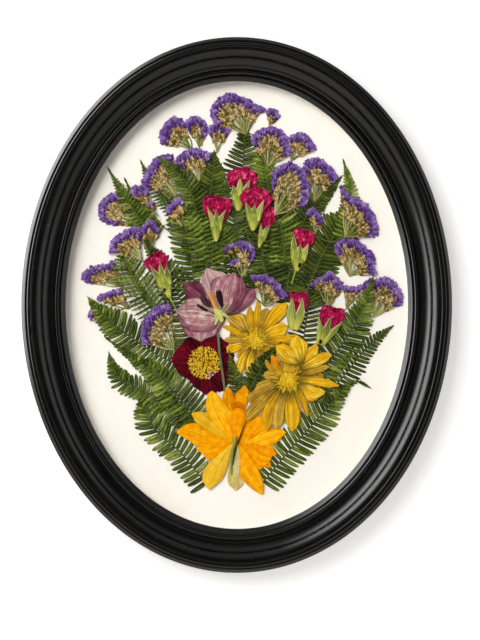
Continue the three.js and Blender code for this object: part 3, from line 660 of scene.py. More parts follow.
def ring(section, segments, from_wall=0.0):
    """A closed section carried round the oval."""
    angle = turns(segments)
    points = np.stack([lifted(oval_point(angle, outside), out + from_wall) for outside, out in section])
    index = np.arange(len(section) * segments).reshape(len(section), segments)
    index = np.concatenate([index, index[:1]])
    across, along = np.meshgrid(np.linspace(0, 1, segments), np.linspace(0, 1, len(section)))
    wave = across * 2 * math.pi
    grain = np.stack([along, 0.5 + 0.5 * np.sin(wave), 0.5 + 0.3 * np.cos(wave)], axis=-1)
    mesh = Mesh()
    mesh.add(points.reshape(-1, 3), [quads(wrapped(index))], grain.reshape(-1, 3), 0)
    return mesh


def stacked(levels):
    """A solid through flat outlines, given with the height of each."""
    loops = np.stack([lifted(outline, height) for outline, height in levels])
    mesh = Mesh()
    mesh.skin(loops, np.full((loops.size // 3, 3), 0.5))
    return mesh


def plate(outside, back, front, bevel=0.25, segments=160):
    """An oval board with a slightly eased edge."""
    inside = outside - bevel
    steps = [(inside, back), (outside, back + bevel), (outside, front - bevel), (inside, front)]
    return stacked([(oval_point(turns(segments), reach), height) for reach, height in steps])


def strip(places, near, far):
    """A steel strip from a grid of places: its back at near, its front at far, and its
    edge eased half way between."""
    top = np.zeros((*places.shape[:2], 3))
    top[..., :2] = places
    top[..., 2] = (near + far) / 2
    top[1:-1, 1:-1, 2] = far
    mesh = Mesh()
    mesh.sheet(top, far - near)
    return mesh


def dress(mesh, name, node, slot, materials, **options):
    """Makes the object, hangs it on the root body and hides the part that it stands for."""
    piece = mesh.object(name, materials, **options)
    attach(piece, "root")
    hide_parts(node)
    return piece


def depths(node):
    """How far a node's back and front are from the wall, in millimetres."""
    low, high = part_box(node)
    return -high.y / MM, -low.y / MM


def build_frame():
    """Moulding, glass, boards and spacer."""
    moulding = ring(moulding_section(), 256, SHELF)
    dress(moulding, "moulding", "frame_moulding", "black_paint", [BLACK_PAINT], sharp=40)
    plates = [
        ("glass", "glass_pane", "glass", GLASS, 0.25),
        ("board", "mount_board", "cream_board", BOARD, 0.25),
        ("backing", "backing_board", "hardboard", HARDBOARD, 0.4),
    ]
    for name, node, slot, finish, bevel in plates:
        panel = plate(RABBET_WIDTH - CLEARANCE, *depths(node), bevel)
        piece = dress(panel, name, node, slot, [finish], sharp=30)
        piece.visible_shadow = finish != GLASS  # the lamps light what lies behind the glass
    near, far = depths("spacer_ring")
    inner, outer = SPACER_REACH
    section = [(outer, near), (outer, far), (inner, far), (inner, near)]
    dress(ring(section, 160), "spacer", "spacer_ring", "spacer", [FOAM])


def build_points():
    """Steel points: slim in the rabbet's wall, wider over the backing board."""
    rows = 12
    half = np.interp(np.linspace(0, 1, rows), [0, 0.25, 0.9, 1], [1.3, 3.5, 3.5, 3.0])
    u = np.array([-1, -0.94, -0.5, 0, 0.5, 0.94, 1])
    for i in range(4):
        angle = (i + 0.5) / 4 * 2 * math.pi
        ends = [oval_point(angle, POINT_START - POINT_LENGTH * share) for share in (0, 0.25, 0.6, 1)]
        line = even(ends, rows)
        side = left_of(tangents(line))
        places = line[:, None] + side[:, None] * (half[:, None] * u)[..., None]
        node = f"retaining_point_{i + 1}"
        dress(strip(places, *depths(node)), f"point_{i + 1}", node, "steel", [STEEL], sharp=35)


def build_hanger():
    """Sawtooth strip: nine teeth along its lower edge, slimmer towards both ends."""
    low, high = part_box("sawtooth_hanger")
    half_length = (high.x - low.x) / 2 / MM
    half_height = (high.z - low.z) / 2 / MM
    teeth, pitch, depth, straight = 9, 3.0, 1.8, 15.0
    toothed = teeth * pitch / 2
    stations = {half_length, half_length - 0.3, straight, straight + 3.0}
    stations |= {-place for place in stations}
    stations |= {(k - teeth) * pitch / 2 for k in range(2 * teeth + 1)}
    columns = np.array(sorted(stations))
    upper = half_height * np.interp(np.abs(columns), [straight, half_length], [1.0, 0.6])
    phase = np.abs((columns + toothed) / (pitch / 2)).round().astype(int) % 2
    notched = (np.abs(columns) <= toothed + 0.01) & (phase == 1)
    lower = np.where(notched, depth - half_height, -upper)
    share = np.array([0.0, 0.12, 0.5, 0.88, 1.0])
    z = lower[:, None] + (upper - lower)[:, None] * share
    places = np.stack([np.broadcast_to(columns[:, None], z.shape), z], axis=-1)
    mesh = strip(places, *depths("sawtooth_hanger"))
    dress(mesh, "hanger_strip", "sawtooth_hanger", "steel", [STEEL], sharp=30, centred=False)


def build_pads():
    """Round felt pads, a little fuller in the middle of their height."""
    angle = turns(28)
    circle = np.stack([np.cos(angle), np.sin(angle)], axis=1)
    for name in ("left", "right"):
        node = f"bumper_pad_{name}"
        low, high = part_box(node)
        middle = (low + high) / 2 / MM
        radius = (high.x - low.x) / 2 / MM
        back, front = depths(node)
        levels = [(-0.5, back), (-0.12, back + 0.15), (0, back + 0.6), (0, front - 0.4), (-0.3, front)]
        centre = (middle.x, middle.z - CENTRE_Z)
        mesh = stacked([(centre + circle * (radius + inset), height) for inset, height in levels])
        dress(mesh, f"felt_{name}", node, "felt", [FELT], sharp=40)


build_frame()
build_points()
build_hanger()
build_pads()


# ---- Ferns -------------------------------------------------------------------------------

TIP_SWEEP, BASE_SWEEP = math.radians(58), math.radians(90)  # between leaflet and midrib
SPINE_POINTS = 64
CROWDING = 1.15  # over 1, leaflets stand closer towards the tip
CURL = 0.1  # of its length, how far a leaflet's tip bends towards the frond's
LEAF, DARK_LEAF, RIB = 0, 1, 2


def leaflet(mesh, root, tipward, outward, length, half, sweep, rng, teeth, kind):
    """One strap-shaped leaflet with a rounded end, its tipward edge tucked a little lower."""
    rows = 12 if teeth else 8
    leaf = tipward * math.cos(sweep) + outward * math.sin(sweep)
    t = 1 - (1 - np.linspace(0, 1, rows)) ** 1.6
    bend = CURL * rng.uniform(0.6, 1.3) * length
    line = root + leaf * (t * length)[:, None] + tipward * (bend * t**2)[:, None]
    outline = [1.0, 1.0, 0.85, 0.55, 0.3] if teeth else [0.85, 1.0, 1.04, 0.92, 0.7]
    width = half * np.interp(t, [0, 0.15, 0.5, 0.8, 1], outline) * np.sqrt(1 - 0.98 * t**12)
    width = width * (1 + teeth * np.where(np.arange(rows) % 2, 1, -1))
    u = np.linspace(-1, 1, 5)
    handed = np.sign(leaf[0] * tipward[1] - leaf[1] * tipward[0])
    slope = -0.26 * handed * u + 0.3 * (1 - u**2) + rng.uniform(-0.1, 0.1) * u
    top = np.zeros((rows, 5, 3))
    top[..., :2] = line[:, None] + left_of(tangents(line))[:, None] * (width[:, None] * u)[..., None]
    top[..., 2] = 0.3 + slope * np.sin(math.pi * np.clip(0.9 * t + 0.1, 0, 0.9))[:, None] + 0.1 * t[:, None]
    mesh.sheet(top, 0.2, kind, rng.uniform(0.1, 0.9))


def frond(mesh, name, spine, reach, taper=0.5, pitch=5.0, teeth=0.0, growth=0.9, fill=0.8, kind=LEAF):
    """A frond from its tip to its base, with a leaflet about every pitch squares on each
    side, closer together towards the tip. fill is how much of that a leaflet takes up."""
    rng = random_for(name)
    line = even(at(spine), SPINE_POINTS)
    last = SPINE_POINTS - 1
    length = np.linalg.norm(np.diff(line, axis=0), axis=1).sum()
    pairs = max(7, round(CROWDING * length / (pitch * SQUARE)))
    direction = tangents(line)
    for sign in (1, -1):
        for i in range(pairs):
            # The leaflets of the two sides alternate a little.
            along = ((i + 0.75 + 0.2 * sign) / pairs) ** CROWDING
            spacing = length * CROWDING / pairs * along ** (1 - 1 / CROWDING)
            k = min(int(along * last), last - 1)
            part = along * last - k
            tipward = -direction[k]
            outward = left_of(tipward) * sign
            root = line[k] * (1 - part) + line[k + 1] * part - 0.5 * outward
            sweep = TIP_SWEEP + (BASE_SWEEP - TIP_SWEEP) * along + rng.normal(0, 0.03)
            size = reach * SQUARE * (min(1.0, along / taper) ** growth * rng.uniform(0.88, 1.06) + 0.04)
            half = min(fill * 0.5 * spacing / math.sin(sweep), 0.3 * size + 0.35)
            leaflet(mesh, root, tipward, outward, size, half, sweep, rng, teeth, kind)
    blade(mesh, line[6], line[0] - direction[0] * 1.6, 0.9, kind, 0.3, thick=0.25)
    rib = line[np.linspace(0, last, 24).astype(int)]
    mesh.tube(lifted(rib, 0.42), np.linspace(0.22, 0.5, 24), RIB, 0.4, 6, 0.6)


# Spines run from tip to base on the layout sheet; reach is the longest leaflet and
# taper the share of the spine over which leaflets grow to it. Several fronds of one
# piece lie under one another where they were pressed as a tuft.
FRONDS = {
    "fern_lower_left_1": [
        dict(spine=[(138, 400), (148, 418), (158, 434), (180, 453), (205, 484)], reach=18, taper=0.22,
             pitch=5.4, fill=0.78)],
    "fern_lower_left_2": [
        dict(spine=[(108, 353), (112, 368), (122, 382), (143, 391), (162, 403), (186, 425)], reach=13,
             taper=0.3, pitch=4.6)],
    "fern_lower_left_3": [
        dict(spine=[(104, 337), (121, 350), (141, 364), (166, 384), (198, 420)], reach=21, taper=0.75,
             pitch=4.8, growth=1.3)],
    "fern_lower_left_4": [
        dict(spine=[(87, 297), (98, 311), (112, 323), (131, 338), (158, 356), (184, 368)], reach=19,
             taper=0.4, pitch=5)],
    "fern_left": [
        dict(spine=[(119, 250), (130, 272), (144, 295), (163, 318)], reach=21, taper=0.3, pitch=4.2,
             teeth=0.28)],
    "fern_upper_left_1": [
        dict(spine=[(107, 167), (115, 181), (126, 199), (140, 219), (156, 236)], reach=15, taper=0.75,
             pitch=4.1, teeth=0.28, growth=1.0, fill=0.95)],
    "fern_upper_left_2": [
        dict(spine=[(140, 160), (147, 174), (158, 188), (170, 201), (188, 228)], reach=15, taper=0.55,
             pitch=4.1, teeth=0.28, growth=1.0, fill=0.95),
        dict(spine=[(124, 178), (131, 192), (140, 208), (156, 230)], reach=9, taper=0.7, pitch=4)],
    "fern_centre_left": [
        dict(spine=[(157, 156), (172, 168), (186, 182), (195, 206), (200, 236), (208, 272)], reach=20,
             taper=0.5, pitch=4.4, teeth=0.24, fill=0.88),
        dict(spine=[(176, 196), (184, 222), (190, 250), (194, 288)], reach=20, taper=0.35, pitch=4.9,
             fill=0.74)],
    "fern_by_left_bud": [
        dict(spine=[(142, 238), (151, 251), (164, 268), (177, 292), (186, 318), (192, 344)], reach=20,
             taper=0.5, pitch=4.8, fill=0.76)],
    "fern_top": [
        dict(spine=[(244, 118), (244, 150), (243, 170), (243, 200)], reach=32, taper=1, pitch=4.4,
             growth=1.0),
        dict(spine=[(214, 150), (212, 180), (206, 215), (202, 250)], reach=23, taper=0.5, pitch=4.6,
             fill=1.05, kind=DARK_LEAF)],
    "fern_upper_middle": [
        dict(spine=[(258, 142), (263, 162), (270, 190), (281, 225), (286, 264)], reach=21, taper=0.35,
             pitch=4.5, teeth=0.24, fill=1.0),
        dict(spine=[(270, 185), (263, 215), (262, 250), (268, 285)], reach=23, taper=0.3, pitch=4.6,
             fill=1.05, kind=DARK_LEAF)],
    "fern_middle": [
        dict(spine=[(236, 204), (234, 228), (234, 252), (236, 276)], reach=23, taper=0.3, pitch=4.8,
             fill=0.7),
        dict(spine=[(218, 222), (221, 246), (226, 270), (236, 304)], reach=23, taper=0.25, pitch=4.6,
             fill=0.72, kind=DARK_LEAF)],
    "fern_upper_right": [
        dict(spine=[(344, 159), (348, 174), (351, 190), (350, 212), (344, 236)], reach=12, taper=0.6,
             pitch=4.2, growth=1.0)],
    "fern_right_inner": [
        dict(spine=[(343, 175), (330, 189), (312, 207), (298, 235), (290, 268), (286, 302)], reach=18,
             taper=0.45, pitch=4.3, fill=1.0),
        dict(spine=[(352, 205), (338, 230), (322, 256), (304, 300)], reach=25, taper=0.35, pitch=4.5,
             fill=1.03, kind=DARK_LEAF)],
    "fern_right": [
        dict(spine=[(374, 275), (369, 296), (360, 317), (344, 343), (325, 368), (306, 396)], reach=20,
             taper=0.45, pitch=5, growth=1.1, fill=0.84)],
    "fern_right_outer": [
        dict(spine=[(394, 326), (381, 336), (366, 350), (348, 372), (328, 396)], reach=15, taper=0.6,
             pitch=4.6, growth=0.8, fill=0.74)],
    "fern_lower_right": [
        dict(spine=[(371, 388), (362, 382), (350, 384), (338, 398), (318, 420), (290, 451), (263, 484)],
             reach=20, taper=0.45, pitch=5, growth=1.6)],
    "fern_behind_buds": [
        dict(spine=[(310, 294), (308, 312), (305, 332), (303, 352)], reach=19, taper=0.2, pitch=4.8,
             fill=0.66)],
    "fern_over_chrysanthemum": [
        dict(spine=[(281, 343), (270, 355), (259, 372), (249, 392)], reach=12, taper=0.6, pitch=4.4,
             fill=1.0),
        dict(spine=[(229, 352), (232, 366), (235, 380), (238, 400)], reach=9, taper=0.6, pitch=4)],
}
DARK_FRONDS = ("fern_top", "fern_right_outer", "fern_behind_buds", "fern_over_chrysanthemum", "fern_middle",
               "fern_right_inner", "fern_by_left_bud")
BRIGHT_FRONDS = ("fern_upper_right", "fern_upper_middle")


def build_fern(node):
    """Every frond of one tuft, from behind to the front."""
    mesh = Mesh()
    for i, shape in enumerate(FRONDS[node]):
        frond(mesh, f"{node}{i}", **shape)
    leaf = FERN_DARK if node in DARK_FRONDS else FERN_BRIGHT if node in BRIGHT_FRONDS else FERN_MID
    return mesh, "fern", [leaf, FERN_DARK, FERN_RIB]


# ---- Blades, petals and rods -----------------------------------------------------------


def petal(mesh, axis, widths, kind=0, tone=0.5, rows=12, **form):
    """A petal along an axis on the layout sheet, as half wide (in squares) as widths say
    at even stations. Its form is as in flesh()."""
    line = even(at(axis), rows)
    side = left_of(tangents(line)) * np.maximum(smooth(widths, rows), 0.15)[:, None] * SQUARE
    flesh(mesh, line - side, line + side, kind, tone, **form)


def flesh(mesh, left, right, kind, tone, columns=9, thick=0.25, cup=0.3, lift=(0.3, 0.3), pleats=0.0,
          waves=4.0, notch=0.0, phase=0.0, wander=0.0):
    """A petal between two edges in millimetres, both from its foot to its tip. cup raises
    its middle, pleats folds it lengthwise in so many waves, lift is the height of its foot
    and tip, notch scallops its tip and wander ripples its margin."""
    rows = len(left)
    t = np.linspace(0, 1, rows)[:, None]
    u = np.linspace(-1, 1, columns)[None]
    middle = (left + right) / 2
    reach = (right - left) / 2
    half = np.linalg.norm(reach, axis=1)[:, None]
    forward = tangents(middle)
    handed = np.sign((reach * left_of(forward)).sum())
    reach = np.where(half < 0.1, left_of(forward) * 0.1 * handed, reach)
    ripple = 1 + wander * np.sin(9 * t + 5 * phase + 1.7 * np.sign(u))
    scallop = notch * t**4 * np.cos(math.pi * waves * u + phase)
    round_end = -0.8 * half * t**8 * np.abs(u) ** 2.5
    fold = pleats * np.sin(math.pi * waves * u + phase) * np.sin(math.pi * np.clip(t * 0.85 + 0.1, 0, 1))
    rise = lift[0] + (lift[1] - lift[0]) * t
    top = np.zeros((rows, columns, 3))
    top[..., :2] = middle[:, None] + reach[:, None] * (u * ripple)[..., None]
    top[..., :2] += forward[:, None] * (scallop + round_end)[..., None]
    top[..., 2] = rise + cup * (1 - u**2) * np.sin(math.pi * np.clip(t, 0.08, 0.95)) + fold
    mesh.sheet(top, thick, kind, tone)


def blade(mesh, root, tip, half, kind, tone, bend=0.0, lift=(0.4, 0.4), rows=6, thick=0.3, cup=0.15):
    """A small pointed blade from root to tip, both in millimetres."""
    t = np.linspace(0, 1, rows)[:, None]
    u = np.array([-1.0, 0.0, 1.0])
    line = root + (tip - root) * t + left_of(unit(tip - root)) * bend * np.sin(math.pi * t)
    width = half * np.sin(math.pi * np.clip(t * 0.86 + 0.1, 0, 1))
    width[-1] = 0.05
    top = np.zeros((rows, 3, 3))
    top[..., :2] = line[:, None] + left_of(tangents(line))[:, None] * (width * u)[..., None]
    top[..., 2] = lift[0] + (lift[1] - lift[0]) * t + cup * (1 - u**2) * np.sin(math.pi * t)
    mesh.sheet(top, thick, kind, tone)


def rod(mesh, places, radii, kind, tone=0.5, height=0.5, sides=6, flat=0.7, rows=12):
    """A stem through places on the layout sheet."""
    mesh.tube(lifted(even(at(places), rows), height), smooth(radii, rows), kind, tone, sides, flat)


# ---- Statice -------------------------------------------------------------------------------

PAPER, BRACT, STEM = 0, 1, 2
# Each head is a crown from left to right and the foot that its branches run to. Feet are
# joined at join, and bits are small loose clusters: tip, foot and number of florets.
SPRIGS = {
    "statice_top": dict(heads=[
        ([(213, 121), (209, 111), (214, 100), (226, 92), (240, 94), (254, 101), (266, 107)], (246, 133))]),
    "statice_upper_left_pair": dict(join=(203, 156), heads=[
        ([(158, 142), (161, 128), (168, 117), (176, 116), (184, 121)], (192, 149)),
        ([(184, 122), (190, 115), (198, 115), (206, 122), (207, 130)], (199, 146)),
        ([(208, 128), (214, 122), (222, 121), (232, 128)], (217, 151))],
        bits=[((202, 125), (202, 145), 3)]),
    "statice_left_arch": dict(join=(190, 202), heads=[
        ([(140, 184), (146, 168), (157, 155), (172, 153)], (176, 196)),
        ([(174, 164), (177, 154), (192, 147), (207, 150), (208, 157)], (199, 180))],
        bits=[((178, 162), (190, 184), 3), ((143, 177), (170, 198), 2)]),
    "statice_far_left": dict(heads=[
        ([(110, 223), (98, 216), (98, 204), (106, 194), (117, 190)], (138, 226))]),
    "statice_left_small_pair": dict(join=(170, 232), heads=[
        ([(130, 192), (134, 184), (146, 188)], (152, 210)),
        ([(164, 209), (170, 203), (177, 197), (183, 200)], (182, 226))],
        bits=[((148, 201), (158, 216), 2)]),
    "statice_left_fan": dict(join=(150, 262), heads=[
        ([(108, 252), (111, 238), (124, 230), (134, 226), (140, 231)], (141, 260)),
        ([(141, 228), (149, 219), (158, 228)], (151, 244))],
        bits=[((139, 232), (148, 252), 2), ((156, 229), (152, 246), 2)]),
    "statice_lower_left": dict(join=(137, 298), heads=[
        ([(84, 282), (80, 274), (92, 266), (103, 264), (114, 258)], (122, 286)),
        ([(94, 299), (104, 292), (120, 287)], (128, 309)),
        ([(89, 320), (86, 314), (92, 307)], (101, 316))]),
    "statice_by_tulip": dict(heads=[
        ([(141, 343), (140, 328), (148, 314), (158, 305), (171, 304)], (174, 350))]),
    "statice_upper_right_pair": dict(join=(276, 172), heads=[
        ([(253, 141), (254, 132), (268, 125), (283, 129), (294, 154)], (268, 166)),
        ([(267, 108), (274, 106), (280, 113)], (270, 127)),
        ([(290, 134), (302, 131), (311, 137), (318, 148)], (291, 160))]),
    "statice_right_arch": dict(heads=[
        ([(273, 180), (276, 169), (290, 161), (303, 168), (310, 184), (307, 205)], (275, 214))]),
    "statice_right_slope": dict(heads=[
        ([(305, 166), (306, 159), (318, 157), (331, 165), (340, 176)], (315, 201))]),
    "statice_far_right": dict(join=(334, 242), heads=[
        ([(341, 184), (350, 194), (365, 201), (376, 215), (380, 232), (374, 236)], (346, 237)),
        ([(308, 212), (314, 207), (325, 219)], (316, 234))]),
    "statice_right_middle": dict(heads=[
        ([(336, 250), (339, 240), (350, 236), (363, 243), (375, 255), (378, 275)], (350, 276))]),
    "statice_right_cup": dict(join=(336, 317), heads=[
        ([(324, 275), (331, 271), (338, 278), (346, 285)], (328, 307)),
        ([(345, 284), (356, 286), (366, 284), (375, 276)], (347, 309))],
        bits=[((315, 281), (325, 300), 3), ((319, 278), (327, 298), 3)]),
    "statice_right_end": dict(heads=[
        ([(375, 280), (387, 276), (398, 284), (405, 297), (402, 304)], (374, 318))]),
    "statice_middle_pair": dict(join=(258, 300), heads=[
        ([(252, 275), (262, 274), (275, 279), (289, 297)], (264, 306)),
        ([(237, 242), (245, 240), (252, 245), (254, 255)], (243, 277))],
        bits=[((227, 246), (239, 266), 3), ((233, 243), (241, 264), 2), ((233, 260), (242, 277), 3)]),
}


FLORET_GAP = 2.6
# Rows of florets below the crown: how far in, how high, how far apart and how half wide.
FLORET_ROWS = [(4.2, 0.6, 3.1, 2.5), (2.0, 0.95, 2.9, 2.6), (0.0, 0.6, 2.8, 2.6)]
LONGEST_BRACTED = 24  # how far down a branch its bracts may start


def floret(mesh, tip, inward, length, half, height, rng):
    """A papery calyx seen from the side: a pleated fan that widens to a ruffled rim."""
    rows, columns = 6, 11
    inward = unit(inward + left_of(inward) * rng.normal(0, 0.2))
    side = left_of(inward)
    t = np.linspace(0, 1, rows)[:, None]
    u = np.linspace(-1, 1, columns)[None]
    phase = rng.uniform(0, 6.28)
    width = half * (0.3 + 0.7 * t**0.7)
    rim = 0.14 * half * np.sin(5.5 * u + phase) + 0.12 * half * np.sin(12 * u + phase) - 0.3 * half * u**2
    reach = length * (1 - t) - rim * t**2
    top = np.zeros((rows, columns, 3))
    top[..., :2] = tip + inward * reach[..., None] + side * (width * u)[..., None]
    pleat = (0.34 * np.sin(8 * u + phase) + 0.26 * np.sin(3 * u + 2 * phase)) * t
    top[..., 2] = height + pleat + 0.4 * (1 - u**2) - 0.25 * t**3
    mesh.sheet(top, 0.22, PAPER, rng.uniform(0.1, 0.9))


def bract(mesh, root, outward, size, height, rng):
    """One pointed papery bract."""
    tip = root + outward * size
    half, tone, bend = rng.uniform(0.75, 1.25), rng.uniform(0.0, 1.0), rng.normal(0, 0.25)
    blade(mesh, root, tip, half, BRACT, tone, bend, (height, height + rng.uniform(0.05, 0.45)), cup=0.4)


def cluster(mesh, tip, inward, rng, florets):
    """A few florets side by side over a handful of bracts."""
    side = left_of(inward)
    for _ in range(3 * florets):
        root = tip + inward * rng.uniform(5.0, 9.0) + side * rng.normal(0, 0.4 * FLORET_GAP)
        outward = unit(side * rng.normal(0, 0.4) - inward)
        bract(mesh, root, outward, rng.uniform(3.4, 5.4), 0.3 + 0.5 * rng.random(), rng)
    for i in range(florets):
        place = tip + side * FLORET_GAP * (i - (florets - 1) / 2) + inward * rng.uniform(-0.5, 0.8)
        length, half = rng.uniform(4.0, 5.4), rng.uniform(1.8, 2.5)
        floret(mesh, place, inward, length, half, 0.5 + 0.4 * rng.random(), rng)


def statice_head(mesh, crown, foot, rng):
    """A band of ruffled florets along the crown, with bracts below it that thin out into
    branches towards the foot."""
    edge_line = even(at(crown), 60)
    end = at(foot)
    length = np.linalg.norm(np.diff(edge_line, axis=0), axis=1).sum()
    focus = edge_line[30] * 0.28 + end * 0.72

    def spot(share):
        """A place on the crown and the way from it to the foot."""
        edge = edge_line[int(np.clip(share, 0, 0.999) * 59)]
        return edge, unit(0.5 * unit(end - edge) + 0.5 * unit(focus - edge)), np.linalg.norm(end - edge)

    band = min(1.0, np.linalg.norm(end - edge_line[30]) / 30)
    branches = max(3, round(length / 2.8))
    for i in range(branches):
        edge, inward, depth = spot((i + 0.5) / branches)
        start = edge + inward * min(7.0, 0.4 * depth)
        stalk(mesh, start, end, rng)
        for share in (0.06, 0.16, 0.28, 0.42):
            if share * depth > LONGEST_BRACTED:
                continue
            root = start + (end - start) * (share + rng.uniform(0, 0.1))
            for turn in (-0.5, 0.5):
                outward = unit(start - end + left_of(start - end) * (turn + rng.normal(0, 0.15)))
                size = rng.uniform(3.2, 5.4) * (1 - 0.4 * share)
                bract(mesh, root, outward, size, 0.3 + 0.5 * rng.random(), rng)
    count = max(3, round(length / 1.3))
    for i in range(count):
        edge, inward, depth = spot((i + 0.5) / count)
        for level in (0.0, 0.6):
            inset = min(7.0 + 3.0 * band + 4.0 * level + rng.uniform(-1.2, 1.2), 0.8 * depth)
            outward = unit(-inward + left_of(inward) * rng.normal(0, 0.25))
            bract(mesh, edge + inward * inset, outward, rng.uniform(3.8, 6.0), 0.3 + 0.4 * rng.random(), rng)
    for inset, height, pitch, half in FLORET_ROWS:
        if inset * band > 2.5 and band < 0.75:
            continue
        count = max(2, round(length / pitch))
        for i in range(count):
            edge, inward, _ = spot((i + rng.uniform(0.3, 0.7)) / count)
            tip = edge + inward * (inset * band + rng.uniform(-0.6, 0.8))
            size = rng.uniform(3.8, 5.6)
            floret(mesh, tip, inward, size, half * rng.uniform(0.7, 1.05), height + rng.uniform(0, 0.4), rng)


def stalk(mesh, start, end, rng):
    """A thin branch that bends into the head's foot."""
    middle = start * 0.45 + end * 0.55 + left_of(end - start) * rng.normal(0, 0.06)
    line = even([start, middle, end], 8)
    height = 0.3 + 0.25 * rng.random()
    mesh.tube(lifted(line, height), np.linspace(0.42, 0.55, 8), STEM, rng.uniform(0.1, 0.9), 5, 0.8)


def build_statice(node):
    """One sprig: its heads and their joined stalks, then its loose bits."""
    mesh = Mesh()
    rng = random_for(node)
    sprig = SPRIGS[node]
    for crown, foot in sprig["heads"]:
        statice_head(mesh, crown, foot, rng)
        if "join" in sprig:
            start, end = np.array(foot, float), np.array(sprig["join"], float)
            middle = (start + end) / 2 + left_of(end - start) * 0.08
            rod(mesh, [start, middle, end], [0.4, 0.45, 0.5], STEM, 0.2, 0.3)
    for tip, foot, florets in sprig.get("bits", []):
        cluster(mesh, at(tip), unit(at(foot) - at(tip)), rng, florets)
        rod(mesh, [tip, foot], [0.4, 0.5], STEM, 0.5, 0.3)
    return mesh, "statice", [STATICE_PAPER, STATICE_BRACT, STATICE_STEM]


# ---- Carnation buds ------------------------------------------------------------------------

# The fan is the petals' outer edge from left to right, and sepals are the tips of the
# sepals, which are joined in a cup lower down unless joined is False. slit is the middle
# and half length of a cleft low on the calyx, painted dark as the shade in it.
BUDS = {
    "carnation_1": dict(
        width=17, foot=(238, 210), sepals=[(232, 184), (240, 175), (250, 179)],
        fan=[(226, 174), (232, 169), (243, 166), (254, 170), (259, 178)]),
    "carnation_2": dict(
        width=13, foot=(216, 241), sepals=[(207, 206), (216, 208), (226, 209)],
        fan=[(202, 205), (204, 196), (214, 195), (230, 199), (232, 206)]),
    "carnation_3": dict(
        width=16, foot=(253, 230), sepals=[(245, 201), (255, 203), (264, 199)],
        fan=[(239, 196), (246, 188), (256, 186), (267, 190), (274, 198)]),
    "carnation_4": dict(
        width=9, foot=(259, 247), sepals=[(261, 222), (267, 226), (270, 224)],
        fan=[(260, 217), (264, 208), (268, 205), (275, 208), (278, 214)]),
    "carnation_5": dict(
        width=16, foot=(169, 297), sepals=[(149, 265), (159, 260), (166, 264)],
        fan=[(142, 262), (149, 256), (157, 251), (163, 252), (167, 258)], slit=[(164, 290), 2.2],
        stem=[(168, 295), (172, 302), (176, 309)]),
    "carnation_6": dict(
        width=17, foot=(297, 271), sepals=[(294, 233), (301, 243), (309, 243)],
        fan=[(293, 235), (296, 227), (305, 229), (314, 232), (316, 238)], slit=[(300, 265), 2.5],
        stem=[(296, 270), (294, 277), (292, 284)]),
    "carnation_7": dict(
        width=17, foot=(294, 331), sepals=[(293, 295), (303, 297)],
        fan=[(289, 300), (291, 291), (299, 292), (307, 292), (310, 302)], joined=False),
    "carnation_8": dict(
        width=18, foot=(320, 346), sepals=[(319, 316), (333, 313), (344, 321)],
        fan=[(320, 314), (324, 305), (335, 307), (345, 310), (345, 320)], slit=[(321, 342), 2.5],
        joined=False),
}
PETAL, CALYX, CALYX_ROD, SLIT, SEPAL_LEAF = range(5)
SEPAL_WIDTHS = [0.7, 0.95, 1.0, 0.92, 0.66, 0.34, 0.05]  # a sepal's, from its foot to its tip
CUP_WIDTHS = [0.1, 0.26, 0.38, 0.46, 0.51, 0.5]  # the calyx's, from its foot to its mouth


def petal_fan(mesh, mouth, edge, rng, height, shrink, tone, base=(0.74, 0.22)):
    """A creased sheet of petals from the calyx mouth out to a pinked edge. base says how
    wide its foot is and how far it is towards the mouth, as shares."""
    rows, columns = 9, 33
    outer = even(at(edge), columns)
    centre = outer.mean(axis=0)
    t = np.linspace(0, 1, rows)[:, None]
    u = np.linspace(0, 1, columns)[None]
    start = mouth + (outer - centre) * base[0] + (centre - mouth) * base[1]
    outer = start + (outer - start) * shrink
    phase = rng.uniform(0, 6.28)
    jagged = 0.035 * np.where(np.arange(columns) % 2, 1, -1) + 0.03 * np.sin(23 * u[0] + phase)
    crease = 0.34 * np.sin(30 * u + phase + 2 * t) + 0.26 * np.sin(13 * u + 2 * phase - 3 * t)
    top = np.zeros((rows, columns, 3))
    top[..., :2] = start + (outer - start) * (t * (1 + t**4 * jagged))[..., None]
    top[..., 2] = height + crease * t**0.5 + 0.5 * np.sin(math.pi * u) * (1 - 0.4 * t)
    mesh.sheet(top, 0.25, PETAL, tone)


